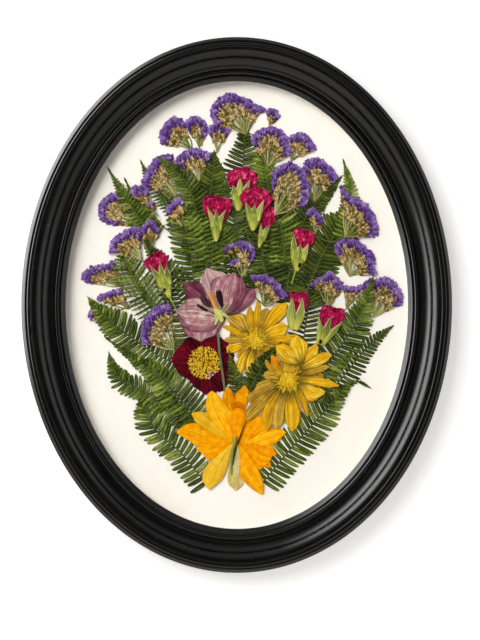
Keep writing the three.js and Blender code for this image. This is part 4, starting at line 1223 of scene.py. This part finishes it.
def build_bud(node):
    """A carnation bud: fans of petals, the calyx over them, and its pointed sepals."""
    mesh = Mesh()
    rng = random_for(node)
    bud = BUDS[node]
    foot = at(bud["foot"])
    mouth = foot + (at(bud["fan"]).mean(axis=0) - foot) * 0.66
    petal_fan(mesh, mouth, bud["fan"], rng, 0.4, 0.8, 0.6, (0.42, -0.4))
    for height, shrink, tone in ((0.5, 1.0, 0.4), (0.8, 0.82, 0.55), (1.05, 0.6, 0.65)):
        petal_fan(mesh, mouth, bud["fan"], rng, height, shrink, tone)
    tips = np.array(bud["sepals"], float)
    start = np.array(bud["foot"], float)
    width = bud["width"]
    whole = tips.mean(axis=0) - start
    joined = bud.get("joined", True)
    if joined:
        axis = [start, start + whole * 0.4, start + whole * 0.78]
        petal(mesh, axis, [width * share for share in CUP_WIDTHS], CALYX, 0.6, 14, columns=17, thick=0.4,
              cup=0.9, lift=(0.9, 1.2), pleats=0.14, waves=3.0, phase=rng.uniform(0, 6))
    low, near, slim = (0.34, 0.75, 0.6) if joined else (0.04, 0.2, 0.55)
    half = width / len(tips) * slim
    middle = (len(tips) - 1) / 2
    order = np.argsort(-np.abs(np.arange(len(tips)) - middle))
    along = whole / np.linalg.norm(whole)
    for rank, i in enumerate(order):
        sideways = left_of(along) * (i - middle) / max(1, 2 * middle) * (width - 1.6 * half)
        root = start + whole * low + sideways * near
        knee = start + whole * (0.5 + 0.5 * low) + sideways
        widths = [half * share for share in SEPAL_WIDTHS]
        petal(mesh, [root, knee, tips[i]], widths, SEPAL_LEAF, rng.uniform(0.1, 0.9), 14, thick=0.3, cup=0.5,
              lift=(1.3 + 0.14 * rank, 1.5), pleats=0.06, waves=2.0)
    # A nearly black sheet over the calyx: painted shade in its cleft.
    if "slit" in bud:
        (x, y), size = bud["slit"]
        axis = [(x + 0.5, y - size), (x, y), (x - 1.0, y + size)]
        petal(mesh, axis, [0.6, 1.4, 1.6, 1.2, 0.4], SLIT, 0.5, 8, columns=5, thick=0.2, cup=0.1,
              lift=(2.2, 2.0))
    if "stem" in bud:
        rod(mesh, bud["stem"], [0.9, 0.75, 0.8], CALYX_ROD, 0.35, 0.7)
    return mesh, "carnation", [CARNATION_PETAL, CALYX_BODY, CALYX_STEM, SHADE_LINE, SEPAL]


# ---- Open flowers ------------------------------------------------------------------------


def dome(mesh, centre, radius, rise, kind, tone, steps=11):
    """A shallow cushion on a round outline, in squares."""
    u, v = np.meshgrid(np.linspace(-1, 1, steps), np.linspace(-1, 1, steps))
    x = u * np.sqrt(1 - v**2 / 2)
    y = v * np.sqrt(1 - u**2 / 2)
    top = np.zeros((steps, steps, 3))
    top[..., :2] = at(centre) + np.stack([x, y], axis=-1) * radius * SQUARE
    top[..., 2] = 0.4 + rise * np.sqrt(np.clip(1 - x**2 - y**2, 0, 1))
    mesh.sheet(top, 0.3 + 0.8 * rise, kind, tone)


def tuft(mesh, centre, radius, count, kinds, rng, size, height, half, spread=1.0):
    """Short filaments that stand out all round a flower's middle. kinds gives a
    filament's kind from its place on the layout sheet, and spread lowers the outer ones."""
    golden_turn = math.pi * (3 - math.sqrt(5))
    for i in range(count):
        share = math.sqrt((i + 0.5) / count)
        angle = i * golden_turn + rng.normal(0, 0.2)
        outward = np.array([math.cos(angle), math.sin(angle)])
        place = np.array(centre, float) + outward * (1, -1) * radius * share
        swing = rng.normal(0, 0.35)
        direction = unit(outward * math.cos(swing) + left_of(outward) * math.sin(swing))
        tip = at(place) + direction * rng.uniform(*size)
        level = height * (1 - 0.55 * share**2 * spread) + rng.uniform(-0.15, 0.2)
        lift = (level, level + 0.35 * (1 - share) + rng.uniform(-0.1, 0.15))
        width, tone, bend = half * rng.uniform(0.8, 1.3), rng.uniform(0.1, 1.0), rng.normal(0, 0.12)
        blade(mesh, at(place), tip, width, kinds(place), tone, bend, lift, 5, cup=0.1)


def outlined(mesh, table, rng, height, step, rows, **form):
    """Petals from behind to the front, each lifted a step higher than the last. A row of
    the table has its foot, the places along one edge, its tip, the places along its other
    edge, its kind (a place in the list of materials that the builder returns) and its tone."""
    for i, (foot, one, tip, other, kind, tone) in enumerate(table):
        half = np.subtract(other[0], one[0]) * 0.16
        blunt = np.subtract(other[-1], one[-1]) * 0.2
        left = np.vstack([np.subtract(foot, half), one, tip - blunt])
        right = np.vstack([np.add(foot, half), other, tip + blunt])
        low = height + step * i
        choices = dict(thick=0.26, cup=0.4, pleats=0.14, waves=2.5) | form
        flesh(mesh, even(at(left), rows), even(at(right), rows), kind, tone, lift=(low + 0.1, low),
              phase=rng.uniform(0, 6.28), wander=0.02, **choices)


TULIP_BACK = [
    ((216, 306), [(203, 292), (200, 282), (201, 274)], (207, 268), [(226, 290), (230, 280), (223, 271.5)], 1,
     0.5),
    ((216, 309), [(200, 305), (186, 298)], (184, 283), [(207, 295), (202, 284), (195, 281)], 5, 0.3),
    ((224, 314), [(233, 300), (243, 290), (249, 287)], (255, 289), [(239, 313), (251, 303), (256, 295)], 5,
     0.65),
    ((219, 314), [(196, 319), (182, 325), (184, 334), (191, 339)], (201, 341.5),
     [(225, 320), (221, 327), (216, 335), (209, 340)], 0, 0.5),
]
TULIP_FRONT = [
    ((220, 315), [(208, 303), (200, 297.5), (193, 296.4), (185, 299.3), (178.6, 304.3)], (175.5, 311),
     [(222, 323), (213, 329), (203, 332), (190, 330.5), (182, 326), (177, 318)], 0, 0.7),
    # A darker sheet along the left front petal's lower margin: painted shade where it overlaps the back
    # petal.
    ((218, 320), [(206, 325), (193, 325.5), (183, 320)], (177, 314),
     [(213, 330), (203, 332.5), (190, 331), (181, 325)], 5, 0.7),
    ((222, 314), [(213, 298), (210, 289), (212, 281), (218, 276), (226, 273)], (234, 272.5),
     [(236, 309), (243, 299), (246, 290), (245, 283), (241, 276)], 0, 0.55),
    # A darker sheet over the right front petal's right side: painted shade along that rim.
    ((226, 313), [(230, 301), (235, 290), (236, 281)], (241, 277),
     [(237, 309), (243.5, 299.5), (246.5, 290), (245, 283)], 5, 0.5),
]
# Axis, half widths and kind of the tulip's anthers, pistil and pale green heart.
TULIP_PARTS = [
    ([(201, 296), (204.5, 301), (210, 307)], [1.6, 3.1, 2.9, 1.6], 2),
    ([(218, 290), (220, 298), (222.5, 308)], [2.2, 3.5, 2.8, 1.2], 2),
    ([(197, 304.5), (202, 308), (208, 311)], [1.0, 1.7, 1.3], 2),
    ([(225, 304), (222.5, 308), (221, 312)], [1.0, 1.2, 0.6], 2),
    ([(210, 291.5), (212.5, 299), (217, 311)], [1.7, 2.5, 2.1, 2.0], 3),
    ([(214, 308), (219, 314), (222, 322)], [1.6, 3.0, 2.0], 4),
    ([(219, 311), (224, 314.5), (229.5, 318)], [1.4, 1.6, 0.7], 4),
    ([(214, 314), (217, 319), (215, 325)], [0.9, 1.4, 0.8], 4),
    ([(227, 302), (223, 308), (220, 314)], [0.5, 0.7, 0.9], 4),
]


def build_tulip(node):
    """Wide creased petals, then what stands in their middle, and the slim stem."""
    mesh = Mesh()
    rng = random_for(node)
    outlined(mesh, TULIP_BACK, rng, 0.5, 0.08, 26, columns=21, cup=0.5, pleats=0.17, waves=4)
    outlined(mesh, TULIP_FRONT, rng, 1.1, 0.25, 30, columns=25, cup=0.8, pleats=0.2, waves=4.5)
    for i, (axis, widths, kind) in enumerate(TULIP_PARTS):
        petal(mesh, axis, widths, kind, rng.uniform(0.3, 0.8), thick=0.35, cup=0.6,
              lift=(2.2 + 0.03 * i, 2.2), pleats=0.08, waves=3)
    rod(mesh, [(208, 310.5), (211, 312.5), (214, 314)], [0.35, 0.35, 0.4], 2, 0.4, 2.5)
    rod(mesh, [(218, 334), (219.5, 352), (222, 370), (225, 392)], [1.2, 1.1, 1.05, 1.0], 6, 0.5, 0.7, rows=30)
    return mesh, "tulip", [TULIP_PETAL, TULIP_PALE, ANTHER, PISTIL, TULIP_HEART, TULIP_DARK, SLIM_STEM]


DAISY_CENTRE = (204, 363)
DAISY_TIPS = [(171, 360), (176, 349), (186, 338), (200, 333), (215, 334), (228, 341), (234, 354), (234, 368),
              (231, 382), (222, 392), (207, 396), (196, 389), (186, 379), (176, 371)]
PEACH_SPOT, PEACH_REACH = (213, 375), (7, 5.5)  # where the disk is paler


def build_daisy(node):
    """Two rounds of broad crimson petals with a golden disk of short filaments."""
    mesh = Mesh()
    rng = random_for(node)
    centre = np.array(DAISY_CENTRE, float)
    outline = np.array(DAISY_TIPS, float)
    between = (outline + np.roll(outline, -1, axis=0)) / 2
    for tips, height in ((between, 0.3), (outline, 0.55)):
        for tip in tips:
            end = centre + (tip - centre) * rng.uniform(0.97, 1.01)
            middle = centre + (end - centre) * 0.6 + rng.normal(0, 0.8, 2)
            tone, lift = rng.uniform(0.1, 0.9), (height, 0.35 + rng.uniform(0, 0.2))
            petal(mesh, [centre, middle, end], [3, 5.5, 8, 9.5, 9, 6.5], 0, tone, 14, columns=13, cup=0.25,
                  lift=lift, pleats=0.16, notch=0.5, phase=rng.uniform(0, 6), wander=0.03)
    dome(mesh, centre, 14.5, 0.9, 2, 0.3)

    def kinds(place):
        return 3 if np.linalg.norm((place - PEACH_SPOT) / PEACH_REACH) < 1 else 1

    tuft(mesh, centre, 15.5, 560, kinds, rng, (0.9, 1.8), 1.7, 0.38)
    return mesh, "crimson", [CRIMSON_PETAL, GOLD_TUFT, DISK_HEART, PEACH_TUFT]


# Petals of the golden chrysanthemums; kind 0 is gold, 2 ochre and 3 orange.
UPPER_MUM = [
    ((257, 334), [(254, 320), (255, 308)], (258, 300), [(260, 320), (261, 308)], 0, 0.6),
    ((253, 334), [(248, 322), (246.5, 313)], (250, 306.5), [(254, 322), (253.5, 313)], 0, 0.4),
    ((250, 336), [(246, 322), (243, 314), (236, 313)], (229, 314), [(240, 330), (229, 323), (226, 318)], 2,
     0.55),
    ((249, 340), [(236, 329), (228, 325.5)], (222, 326), [(237, 336), (229, 331.5)], 0, 0.55),
    ((249, 342), [(236, 336.5), (228, 337)], (224, 340), [(236, 343.5), (228, 343)], 2, 0.6),
    ((249, 344), [(235, 343.5), (226, 347)], (227.5, 353), [(241, 349.5), (234, 353)], 0, 0.75),
    ((258, 337), [(264, 323), (269, 313), (276, 304.5)], (286.5, 303), [(270, 328), (280, 321), (287, 313)],
     0, 0.5),
    ((262, 345), [(270, 348), (276, 352)], (278, 356), [(264, 351), (271, 356)], 0, 0.5),
    ((259, 347), [(265, 354), (269, 362)], (267, 367.5), [(257, 355), (260, 364)], 2, 0.5),
    ((260, 338), [(271, 326.5), (283, 321.5)], (288, 326), [(273, 338), (283, 336), (288, 331)], 0, 0.75),
    ((262, 341), [(272, 336), (284, 335), (296, 334.5)], (303, 340), [(276, 345), (289, 344), (297, 343.5)],
     0, 0.5),
    ((251, 347), [(241, 354), (235.5, 366)], (239, 377.5), [(248, 355), (244.5, 368)], 0, 0.7),
    ((254, 349), [(247.5, 357), (246, 368)], (249, 378.5), [(254.5, 357), (253.5, 368)], 0, 0.85),
]
LOWER_MUM = [
    ((291, 379), [(283, 371), (280, 363)], (285, 356), [(293, 371), (292, 363)], 2, 0.4),
    ((282, 375), [(275, 367), (271, 360)], (272, 355), [(279, 366), (277, 358)], 3, 0.3),
    ((280, 378), [(270, 371), (265, 365)], (266, 360), [(275, 371), (270, 363)], 0, 0.3),
    ((279, 384), [(264, 384), (253, 390)], (246, 399), [(264, 396), (255, 405)], 2, 0.35),
    ((280, 382), [(267, 380), (257, 384)], (255, 391), [(271, 391), (262, 393)], 2, 0.6),
    ((280, 386), [(265, 391), (253.6, 401), (246, 411)], (246, 420), [(272, 399), (261, 412), (252, 420)], 2,
     0.45),
    ((297, 386), [(304, 396), (308.5, 406)], (308, 417), [(299, 398), (303, 408)], 0, 0.3),
    ((288, 390), [(276.4, 398), (270.7, 409), (271, 423)], (276.5, 430),
     [(287, 400), (285.5, 410), (284, 422)], 2, 0.6),
    ((282, 388), [(272, 396.6), (263.6, 409.4), (262, 421)], (266.5, 431),
     [(279, 400), (274, 414), (272, 425)], 0, 0.35),
    ((292, 390), [(286.4, 401), (285, 415), (287, 426)], (293, 432), [(297, 401), (301, 413), (299.5, 425)],
     0, 0.6),
    ((298, 384), [(314, 386.4), (322, 388)], (325.5, 393), [(303, 393), (309, 401), (317, 400.5)], 0, 0.8),
    ((300, 369), [(300.7, 358), (307, 349.4)], (316, 344), [(307, 364), (316, 357), (319, 350)], 0, 0.75),
    ((301, 370), [(308, 361), (318, 354), (327, 351.5)], (332, 355), [(308, 370), (320, 366), (329, 361)], 0,
     0.85),
    ((297, 375), [(312, 369), (324, 365)], (329.5, 367.5), [(309, 375.5), (321, 373)], 2, 0.45),
    ((297, 381), [(312, 377.5), (326.4, 379), (335.5, 382.5)], (339, 386.5), [(314, 385.5), (328, 388)], 0,
     0.65),
]
CUP_PETALS = [
    ((301, 364), [(290, 364.5), (281, 361), (276, 354)], (276, 346),
     [(300, 355), (295, 349.5), (288, 345), (281, 343)], 0, 0.7),
    ((302, 364), [(294, 354), (289, 346), (290, 339)], (297.5, 336), [(307, 354), (308, 345), (304, 338.5)],
     0, 0.85),
]

# back is the middle of the petals between, and tuft gives a tuft's radius in squares, its
# count of filaments, the longest of them and its height in millimetres.
MUMS = {
    "chrysanthemum_upper": dict(
        back=(256, 339), centre=(255, 339), petals=UPPER_MUM, cups=[], rows=16, tuft=(9.5, 170, 4.6, 1.9)),
    "chrysanthemum_lower": dict(
        back=(288, 380), centre=(288, 380), petals=LOWER_MUM, cups=CUP_PETALS, rows=18,
        tuft=(10.5, 210, 4.8, 2.0)),
}


BETWEEN_REACH = 0.84  # of the shorter neighbour, how long a petal between two others is
WIDEST_GAP = 70  # degrees between two tips; a wider gap stays open


def between_petals(mesh, centre, table, rng):
    """Darker petals behind, one in each narrow gap between two tips."""
    centre = np.array(centre, float)
    tips = np.array([row[2] for row in table], float) - centre
    angles = np.arctan2(tips[:, 1], tips[:, 0])
    order = np.argsort(angles)
    for i, j in zip(order, np.roll(order, -1)):
        gap = (angles[j] - angles[i]) % (2 * math.pi)
        if math.degrees(gap) > WIDEST_GAP:
            continue
        angle = angles[i] + gap / 2
        size = BETWEEN_REACH * min(np.linalg.norm(tips[i]), np.linalg.norm(tips[j]))
        way = np.array([math.cos(angle), math.sin(angle)])
        axis = [centre + 4 * way, centre + 0.6 * size * way, centre + size * way]
        half = size * min(0.3, 0.2 + 0.3 * gap)
        widths = [half * share for share in (0.4, 0.7, 0.95, 1.0, 0.85, 0.5)]
        petal(mesh, axis, widths, 2, rng.uniform(0.0, 0.6), 14, thick=0.22, cup=0.2, lift=(0.35, 0.3),
              pleats=0.14, waves=2.5, notch=0.2, phase=rng.uniform(0, 6), wander=0.03)


def build_mum(node):
    """A chrysanthemum: petals, cupped petals over them, and a tuft on a low cushion."""
    mesh = Mesh()
    rng = random_for(node)
    mum = MUMS[node]
    between_petals(mesh, mum["back"], mum["petals"], rng)
    outlined(mesh, mum["petals"], rng, 0.4, 0.09, mum["rows"], columns=mum["rows"] - 5)
    outlined(mesh, mum["cups"], rng, 1.5, 0.35, 20, columns=17, cup=0.9)
    dome(mesh, mum["centre"], 8, 0.8, 1, 0.5, 9)
    radius, count, longest, height = mum["tuft"]
    tuft(mesh, mum["centre"], radius, count, lambda place: 1, rng, (2.4, longest), height, 0.22, 0.8)
    return mesh, "gold", [GOLD_PETAL, LEMON_TUFT, OCHRE_PETAL, ORANGE_PETAL]


# Petals of the orange flower, seen from behind; kind 0 is orange, 1 pale and 4 amber.
ORANGE_PETALS = [
    ((232, 420), [(223, 405), (222.5, 395)], (227, 387.5), [(234.5, 405), (232.5, 391.5)], 0, 0.45),
    ((241, 416), [(234, 399), (238, 391)], (244.5, 386), [(246, 407), (248.5, 398.6), (249, 390.5)], 0, 0.6),
    ((238, 446), [(241, 433), (245.5, 420), (252, 417)], (262, 416), [(246, 448), (257, 438), (269, 428)], 0,
     0.5),
    ((234, 462), [(228, 470), (227, 480), (229.5, 488)], (236, 491.5),
     [(238, 468), (242.5, 479), (243, 487)], 1, 0.6),
    ((242, 445), [(251, 440), (261.4, 432.5), (270, 429), (278, 427.8), (283.5, 429.5)], (286, 433.5),
     [(261, 448), (270, 446), (278, 443), (284, 438)], 0, 0.7),
    ((241, 445), [(262, 444), (276, 447.5)], (270.5, 459), [(247, 458), (258, 470), (266, 469)], 0, 0.45),
    ((238, 446), [(234, 455), (237, 469), (241.4, 479), (248.6, 487.5), (256, 494)], (262.5, 495.5),
     [(249, 456), (257.5, 468.6), (262, 478.6), (264.5, 488.6)], 0, 0.6),
    ((233, 444), [(212, 438), (195, 443)], (196.5, 450), [(229, 453), (212, 462.5), (203, 457)], 0, 0.5),
    ((232, 441), [(213, 432), (198.6, 424.5), (191.4, 423), (183, 425)], (176.5, 432),
     [(212, 448), (197, 447), (190, 442.5), (180, 437.5)], 0, 0.6),
    ((230, 438), [(214, 420), (205, 413), (197, 411)], (191.5, 414), [(212, 434), (197, 424), (193, 420.5)],
     4, 0.6),
    ((231, 446), [(212, 461), (204, 471.4), (201.5, 480), (203.5, 487)], (209, 490.3),
     [(231, 456), (228, 466), (224.5, 475.7), (216, 487.5)], 4, 0.7),
    ((231, 442), [(225, 435), (212.5, 424.3), (207.5, 414.3), (205, 404.3), (207, 393.5)], (211.5, 391.3),
     [(233, 430), (230, 412), (225, 403), (216.5, 392.5)], 0, 0.8),
    ((236, 443), [(229, 427), (229, 413), (231, 405)], (238, 402),
     [(243, 432), (246, 421), (245.5, 411), (244, 405)], 0, 0.4),
]


def build_orange(node):
    """The flower's back: its petals, a folded lip, its cut stem, and dark lines of painted shade."""
    mesh = Mesh()
    rng = random_for(node)
    outlined(mesh, ORANGE_PETALS, rng, 0.4, 0.1, 24, columns=19, cup=0.45, waves=3)
    for row, tone in ((403.5, 0.9), (406, 0.5), (408.5, 0.2)):
        axis = [(231, row + 2), (238, row - 1), (245, row + 2)]
        petal(mesh, axis, [0.4, 1.0, 0.8, 0.4], 5, tone, 14, cup=0.4, lift=(2.0, 2.0), pleats=0.15)
    dome(mesh, (234, 443), 6, 0.6, 0, 0.3, 9)
    strap = [(236, 446), (236.5, 462), (236, 479)]
    petal(mesh, strap, [1.5, 3, 3.6, 3.6, 2.4], 1, 0.8, 14, columns=7, thick=0.3, cup=0.4, lift=(1.9, 1.4),
          pleats=0.1)
    stem = [(236.4, 437), (232.9, 449), (230.8, 461), (231.4, 476)]
    rod(mesh, stem, [1.25, 1.2, 0.95, 0.6], 2, 0.4, 2.4, 8, rows=24)
    # A dark line along the stem's right side: painted shade.
    rod(mesh, [(238.2, 441), (235.2, 451), (232.8, 466)], [0.3, 0.6, 0.35], 3, 0.5, 2.9, rows=20)
    # A dark line in a petal's crease: painted shade.
    rod(mesh, [(247, 420), (242, 432), (238, 444)], [0.2, 0.35, 0.5], 3, 0.8, 2.1, flat=0.5, rows=16)
    return mesh, "orange", [ORANGE_PETAL, PALE_PETAL, CALYX_STEM, SHADE_LINE, AMBER_PETAL, EMBER_PETAL]


# ---- Assembly of the specimens -----------------------------------------------------------

BUILDERS = [(build_fern, FRONDS), (build_statice, SPRIGS), (build_bud, BUDS),
            (build_daisy, ["crimson_daisy"]),
            (build_mum, MUMS), (build_tulip, ["tulip"]), (build_orange, ["orange_flower"])]
KINDS = {"fern": "frond", "statice": "sprig", "carnation": "bud"}
ABOVE_BOARD = 0.05


def build_specimens():
    """Lays every specimen on those under it, in the order of the part's layers."""
    support = Support()
    builders = {node: builder for builder, nodes in BUILDERS for node in nodes}
    for node in sorted(builders, key=lambda name: round(depths(name)[0], 3)):
        mesh, slot, materials = builders[node](node)
        mesh.drape(support)
        mesh.points[0][:, 2] += BOARD_FACE + ABOVE_BOARD
        dress(mesh, f"{node}_{KINDS.get(slot, 'bloom')}", node, slot, materials)


build_specimens()


# ---- Camera, light and stage -------------------------------------------------------------

VIEW_SQUARE = np.array([240.0, 320.0])  # middle of the picture on the layout sheet
PICTURE_HEIGHT = 640 * SQUARE
LENS = 100.0
SENSOR = 36.0
WORLD_FRONT, WORLD_BEHIND = 0.2, 0.8
GLOSS_FRONT, GLOSS_LEFT, GLOSS_RIGHT, GLOSS_TOP = 0.012, 7.0, 1.0, 0.4
UPPER_LEFT = (-0.92, 0.0, 0.39)


def build_camera():
    """Straight in front, so far off that the picture shows PICTURE_HEIGHT at the moulding."""
    data = bpy.data.cameras.new("camera")
    data.lens = LENS
    data.sensor_width = SENSOR
    camera = bpy.data.objects.new("camera", data)
    x, z = at(VIEW_SQUARE)
    distance = PICTURE_HEIGHT * LENS / SENSOR + SHELF + 2
    camera.location = Vector((x, -distance, z + CENTRE_Z)) * MM
    camera.rotation_euler = (math.radians(90), 0, 0)
    bpy.context.scene.collection.objects.link(camera)
    bpy.context.scene.camera = camera


def build_light(name, place, size, power, warmth):
    """A square lamp that looks at the oval's centre and isn't mirrored in glass or paint."""
    data = bpy.data.lights.new(name, "AREA")
    data.size = size
    data.energy = power
    data.color = colour(warmth)[:3]
    light = bpy.data.objects.new(name, data)
    target = Vector((0, 0, CENTRE_Z * MM))
    light.location = Vector(place)
    light.rotation_euler = (target - light.location).to_track_quat("-Z", "Y").to_euler()
    light.visible_glossy = False
    bpy.context.scene.collection.objects.link(light)


def build_world():
    """White to the eye. As light it is dim in front and brighter behind. Gloss sees a bright
    upper left side, weaker right, top and bottom sides, and a dark room straight in front."""
    world = bpy.data.worlds.new("studio")
    world.use_nodes = True
    bpy.context.scene.world = world
    nodes = Nodes(world.node_tree)
    gentle = dict(interpolation_type="SMOOTHSTEP")
    direction = nodes.node("ShaderNodeTexCoord").outputs["Generated"]
    x, y, z = nodes.node("ShaderNodeSeparateXYZ", {0: direction}).outputs
    rays = nodes.node("ShaderNodeLightPath").outputs
    side = nodes.node("ShaderNodeVectorMath", {0: direction, 1: UPPER_LEFT}, operation="DOT_PRODUCT")
    left = nodes.span(side.outputs["Value"], 0.62, 0.97, GLOSS_FRONT, GLOSS_LEFT, **gentle)
    high = nodes.span(nodes.maths("ABSOLUTE", z), 0.3, 0.95, 0.0, GLOSS_TOP, **gentle)
    right = nodes.span(x, 0.6, 0.95, 0.0, GLOSS_RIGHT, **gentle)
    gloss = nodes.maths("ADD", nodes.maths("ADD", left, high), right)
    soft = nodes.span(y, -0.2, 0.4, WORLD_FRONT, WORLD_BEHIND)
    light = nodes.node("ShaderNodeMix", {0: rays["Is Glossy Ray"], 2: soft, 3: gloss}).outputs[0]
    light = nodes.node("ShaderNodeMix", {0: rays["Is Camera Ray"], 2: light, 3: 1.0}).outputs[0]
    background = nodes.tree.nodes["Background"]
    nodes.put(light, background.inputs["Strength"])
    nodes.put((1, 1, 1, 1), background.inputs["Color"])


def flat_stage(name, corners, finish):
    """A flat part of the stage through four corners."""
    mesh = bpy.data.meshes.new(name)
    mesh.from_pydata(corners, [], [range(len(corners))])
    mesh.materials.append(finish)
    thing = bpy.data.objects.new(name, mesh)
    bpy.context.scene.collection.objects.link(thing)
    return thing


def wall_finish():
    """Matt white, open from behind so that the frame's back can be looked at."""
    shader = Shader("wall_white", Roughness=1.0, Specular_IOR_Level=0.0)
    shader.base((0.95, 0.94, 0.93, 1))
    shader.put((1, 1, 1, 1), shader.surface.inputs["Emission Color"])
    shader.put(0.4, shader.surface.inputs["Emission Strength"])
    see_through = shader.node("ShaderNodeBsdfTransparent").outputs[0]
    back = shader.node("ShaderNodeNewGeometry").outputs["Backfacing"]
    mixed = shader.node("ShaderNodeMixShader", {0: back, 1: shader.surface.outputs[0], 2: see_through})
    shader.put(mixed.outputs[0], shader.tree.nodes["Material Output"].inputs["Surface"])
    return shader.material


def build_stage():
    """The wall behind the pads, and a pale floor below."""
    half, top, bottom = 3.0, 2.0, -0.9
    wall_gap = 0.0006
    corners = [(-half, bottom), (half, bottom), (half, top), (-half, top)]
    wall = flat_stage("wall", [(x, wall_gap, z) for x, z in corners], wall_finish())
    wall.visible_shadow = False
    wall.visible_diffuse = False
    wall.visible_glossy = False
    pale = Shader("floor_pale", Roughness=0.9).base(colour("#efedea"))
    corners = [(-half, -half), (half, -half), (half, half), (-half, half)]
    flat_stage("floor", [(x, y, bottom) for x, y in corners], pale)


build_camera()
build_world()
build_light("key", (-0.9, -1.75, 0.6), 1.1, 26.0, "#fffcf7")
build_light("fill", (1.4, -1.8, -0.4), 1.6, 3.0, "#f2f6ff")
build_stage()
bpy.context.scene.view_settings.view_transform = "Standard"
